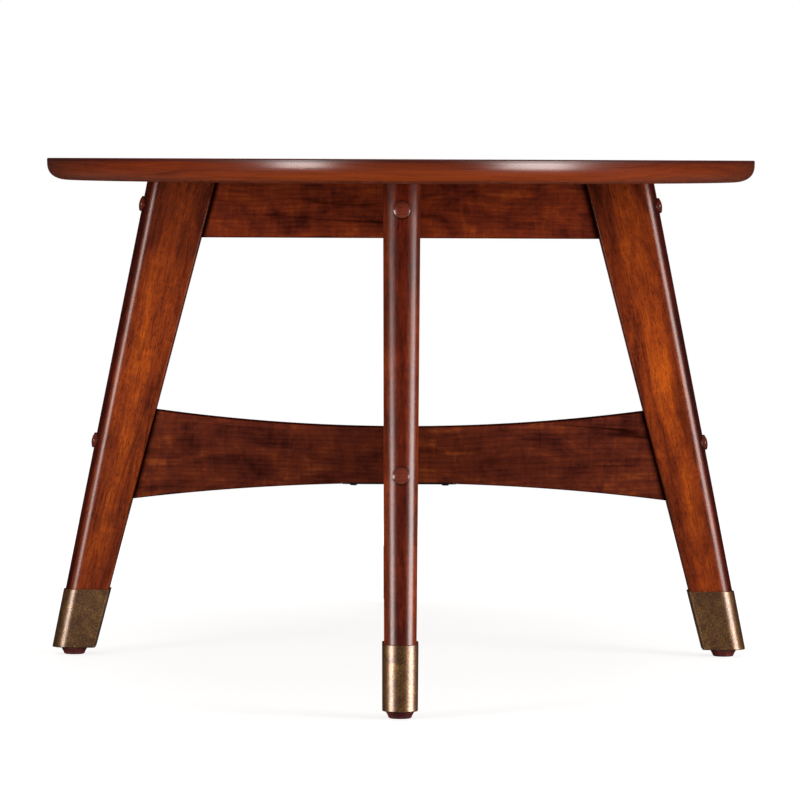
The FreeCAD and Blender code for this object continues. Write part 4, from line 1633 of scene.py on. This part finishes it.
@dataclass
class Studio:
    """The pale floor, the white backdrop, the soft lamps and the camera, whose angles are in degrees."""

    lamps: tuple[Softbox, ...] = (
        Softbox("left_softbox", (-1.49, -1.53, 0.36), (0, -0.2, 0.36), 0.74, 0.72, 12.2),
        Softbox("right_softbox", (1.60, -1.04, 0.36), (0, -0.2, 0.36), 0.94, 0.72, 11.4),
        Softbox("overhead_softbox", (0, 0.1, 2.4), (0, 0, 0), 1.8, 1.8, 1.6),
        Softbox("back_fill", (0, 2.4, 0.55), (0, 0, 0.25), 2.0, 1.0, 3.0, in_gloss=False),
    )
    ambient: float = 0.34
    gloss_ambient: float = 0.015
    backdrop: float = 1.0
    floor_radius: float = 1.9
    floor_fade: float = 0.5
    floor_tone: Tone = Tone(188, 187, 185)
    floor_white: float = 0.76
    floor_in_gloss: float = 0.035
    floor_roughness: Span = (0.85, 0.95)
    paper: Pattern = Pattern((0.004, 0.004, 0.004), detail=3.0)
    camera_place: Triple = (-0.0102, -4.690, 0.4328)
    camera_yaw: float = 0.1268
    camera_pitch: float = 2.567
    camera_roll: float = 0.232
    focal_pixels: float = 5391.0
    image_pixels: float = 800.0
    sensor: float = 36.0

    def build(self) -> None:
        """Sets up the whole studio."""
        self._floor()
        self._world()
        for lamp in self.lamps:
            lamp.build()
        self._camera()
        bpy.context.scene.view_settings.view_transform = "Standard"

    def _floor(self) -> None:
        """Lays a round pale floor."""
        radius = self.floor_radius
        floor = Workpiece.start("studio_floor", "circle", vertices=128, radius=radius, fill_type="NGON").made
        floor.data.materials.append(self._floor_finish())

    def _floor_finish(self) -> bpy.types.Material:
        """Makes pale paper that fades into the backdrop and is clear from below.

        Shiny surfaces see the floor dimmed to a small share of its pale tone: a painted darkness in place of
        dark flags round the table.

        Returns:
            The floor's material.
        """
        bench = NodeBench.for_material("studio_floor")
        place = bench.place()
        rays = bench.rays()
        dimmed = bench.mix_in(1.0, rays["Is Glossy Ray"], self.floor_in_gloss - 1.0)
        pale = {0: self.floor_tone.linear()[:3], "Scale": dimmed}
        paper = bench.noise(place, self.paper)
        bench.dress(
            Base_Color=bench.add("VectorMath", pale, operation="SCALE"),
            Roughness=bench.ease(paper, bench.NOISE_SPAN, self.floor_roughness),
            Specular_IOR_Level=0.1,
        )
        straight = bench.calc("MAXIMUM", rays["Is Camera Ray"], rays["Is Transmission Ray"])
        in_gloss = bench.calc("MULTIPLY", rays["Is Glossy Ray"], self.floor_in_gloss)
        seen = bench.calc("MAXIMUM", straight, in_gloss)
        white = bench.add("Emission", {"Strength": bench.calc("MULTIPLY", seen, self.floor_white)})
        lit = bench.add("AddShader", {0: bench.surface.outputs["BSDF"], 1: white})
        edge = bench.ease(bench.length(place), (self.floor_radius - self.floor_fade, self.floor_radius))
        gone = bench.calc("MAXIMUM", edge, bench.add("NewGeometry", {}, "Backfacing"))
        faded = bench.add("MixShader", {0: gone, 1: lit, 2: bench.add("BsdfTransparent", {})})
        bench.feed(bench.tree.nodes["Material Output"].inputs["Surface"], faded)
        return bench.owner

    def _world(self) -> None:
        """Makes the backdrop white and the rest of the room a dim, even fill."""
        world = bpy.data.worlds.new("studio_room")
        bpy.context.scene.world = world
        bench = NodeBench(world)
        rays = bench.rays()
        fill = bench.choose(rays["Is Glossy Ray"], self.ambient, self.gloss_ambient)
        for straight in ("Is Transmission Ray", "Is Camera Ray"):
            fill = bench.choose(rays[straight], fill, self.backdrop)
        light = bench.tree.nodes["Background"].inputs
        bench.feed(light["Color"], (1, 1, 1, 1))
        bench.feed(light["Strength"], fill)

    def _camera(self) -> None:
        """Stands the camera at the photograph's place, level with the top."""
        yaw, pitch, roll = map(math.radians, (self.camera_yaw, self.camera_pitch, self.camera_roll))
        ahead = Vector((math.sin(yaw), math.cos(yaw), 0))
        right = Vector((math.cos(yaw), -math.sin(yaw), 0))
        forward = ahead * math.cos(pitch) - UP * math.sin(pitch)
        above = UP * math.cos(pitch) + ahead * math.sin(pitch)
        tilted_right = right * math.cos(roll) + above * math.sin(roll)
        tilted_above = above * math.cos(roll) - right * math.sin(roll)
        turn = Matrix((tilted_right, tilted_above, -forward)).transposed().to_4x4()
        data = bpy.data.cameras.new("camera")
        data.sensor_width = self.sensor
        data.lens = self.focal_pixels / self.image_pixels * self.sensor
        holder = bpy.data.objects.new("camera", data)
        holder.matrix_world = Matrix.Translation(self.camera_place) @ turn
        bpy.context.scene.collection.objects.link(holder)
        bpy.context.scene.camera = holder


END_LEG_WOOD = StainedWood(
    "end_leg_wood",
    "leg_wood",
    (Tone(100, 32, 5), Tone(136, 51, 9), Tone(162, 65, 9), Tone(198, 88, 8)),
    cloud=1.0,
    fibre=0.72,
    flecks=0.78,
    glow=0.22,
    crown_toner_and_shade=0.80,
    inner_toner=0.20,
    shade_under_top=0.40,
    darker_towards_foot=0.32,
    joint_shade=0.0016,
    edge_coat=0.30,
)
SIDE_LEG_WOOD = replace(
    END_LEG_WOOD,
    name="side_leg_wood",
    outer_toner_and_shade=1.0,
    crown_toner_and_shade=0.0,
    toner_start=0.68,
    toner_full=0.86,
    toner=Tone(136, 90, 62),
)
APRON_WOOD = StainedWood(
    "apron_wood",
    "board_wood",
    (Tone(66, 20, 13), Tone(108, 41, 24), Tone(134, 53, 25), Tone(172, 79, 33)),
    cloud_length=0.045,
    cloud_width=0.020,
    cloud=1.20,
    ripple=0.45,
    fibre=0.22,
    flecks=0.25,
    streaks=0.75,
    outer_toner_and_shade=0.95,
    inner_toner=0.80,
    toner_start=0.62,
    joint_shade=0.006,
    edge_roughness=0.0,
    coat=0.05,
    gloss=0.03,
)
STRETCHER_WOOD = replace(
    APRON_WOOD,
    name="stretcher_wood",
    tones=(Tone(56, 19, 14), Tone(90, 36, 24), Tone(110, 46, 27), Tone(150, 72, 33)),
    cloud_length=0.055,
    cloud=1.15,
    streaks=0.85,
)
TOP_WOOD = StainedWood(
    "top_wood",
    "top_wood",
    (Tone(86, 26, 2), Tone(112, 39, 7), Tone(132, 49, 9), Tone(156, 63, 10)),
    cloud_length=0.22,
    cloud_width=0.012,
    cloud=0.9,
    ripple=0.12,
    swirl=0.2,
    fibre=0.45,
    grain_length=0.12,
    flecks=0.30,
    glow=0.15,
    edge_calm=0.30,
    rim_painted_light=0.19,
    outer_toner_and_shade=0.85,
    inner_toner=0.0,
    toner_start=0.86,
    leaf_width=0.153,
    roughness=(0.25, 0.31),
    edge_roughness=0.22,
    coat=0.50,
    coat_roughness=0.30,
    rubbed=0.29,
)
BUTTON_WOOD = StainedWood(
    "button_wood",
    "button_wood",
    (Tone(84, 32, 24), Tone(110, 46, 32), Tone(124, 54, 36), Tone(140, 64, 40)),
    flecks=0.2,
    outer_toner_and_shade=0.0,
    inner_toner=0.0,
    roughness=(0.20, 0.28),
    coat=0.4,
    coat_roughness=0.12,
)
ZINC = PlatedSteel("zinc_steel", (Tone(150, 152, 154), Tone(196, 198, 198)), 1.0, (0.42, 0.28))
BLACK = PlatedSteel("black_steel", (Tone(16, 15, 16), Tone(38, 36, 36)), 0.4, (0.55, 0.38))


def main() -> None:
    """Builds the table's pieces in order, then the studio round it."""
    logging.basicConfig(level=logging.INFO, format="%(message)s")
    form = LegForm.from_frame()
    OvalTop(TOP_WOOD).build()
    Legs(form, END_LEG_WOOD, SIDE_LEG_WOOD, BUTTON_WOOD).build()
    Ferrules(form, AgedBrass()).build()
    Glides(MouldedPlastic()).build()
    Boards(form, APRON_WOOD, STRETCHER_WOOD).build()
    Fittings(ZINC, BLACK, BareDowel()).build()
    Studio().build()


if __name__ == "__main__":
    main()
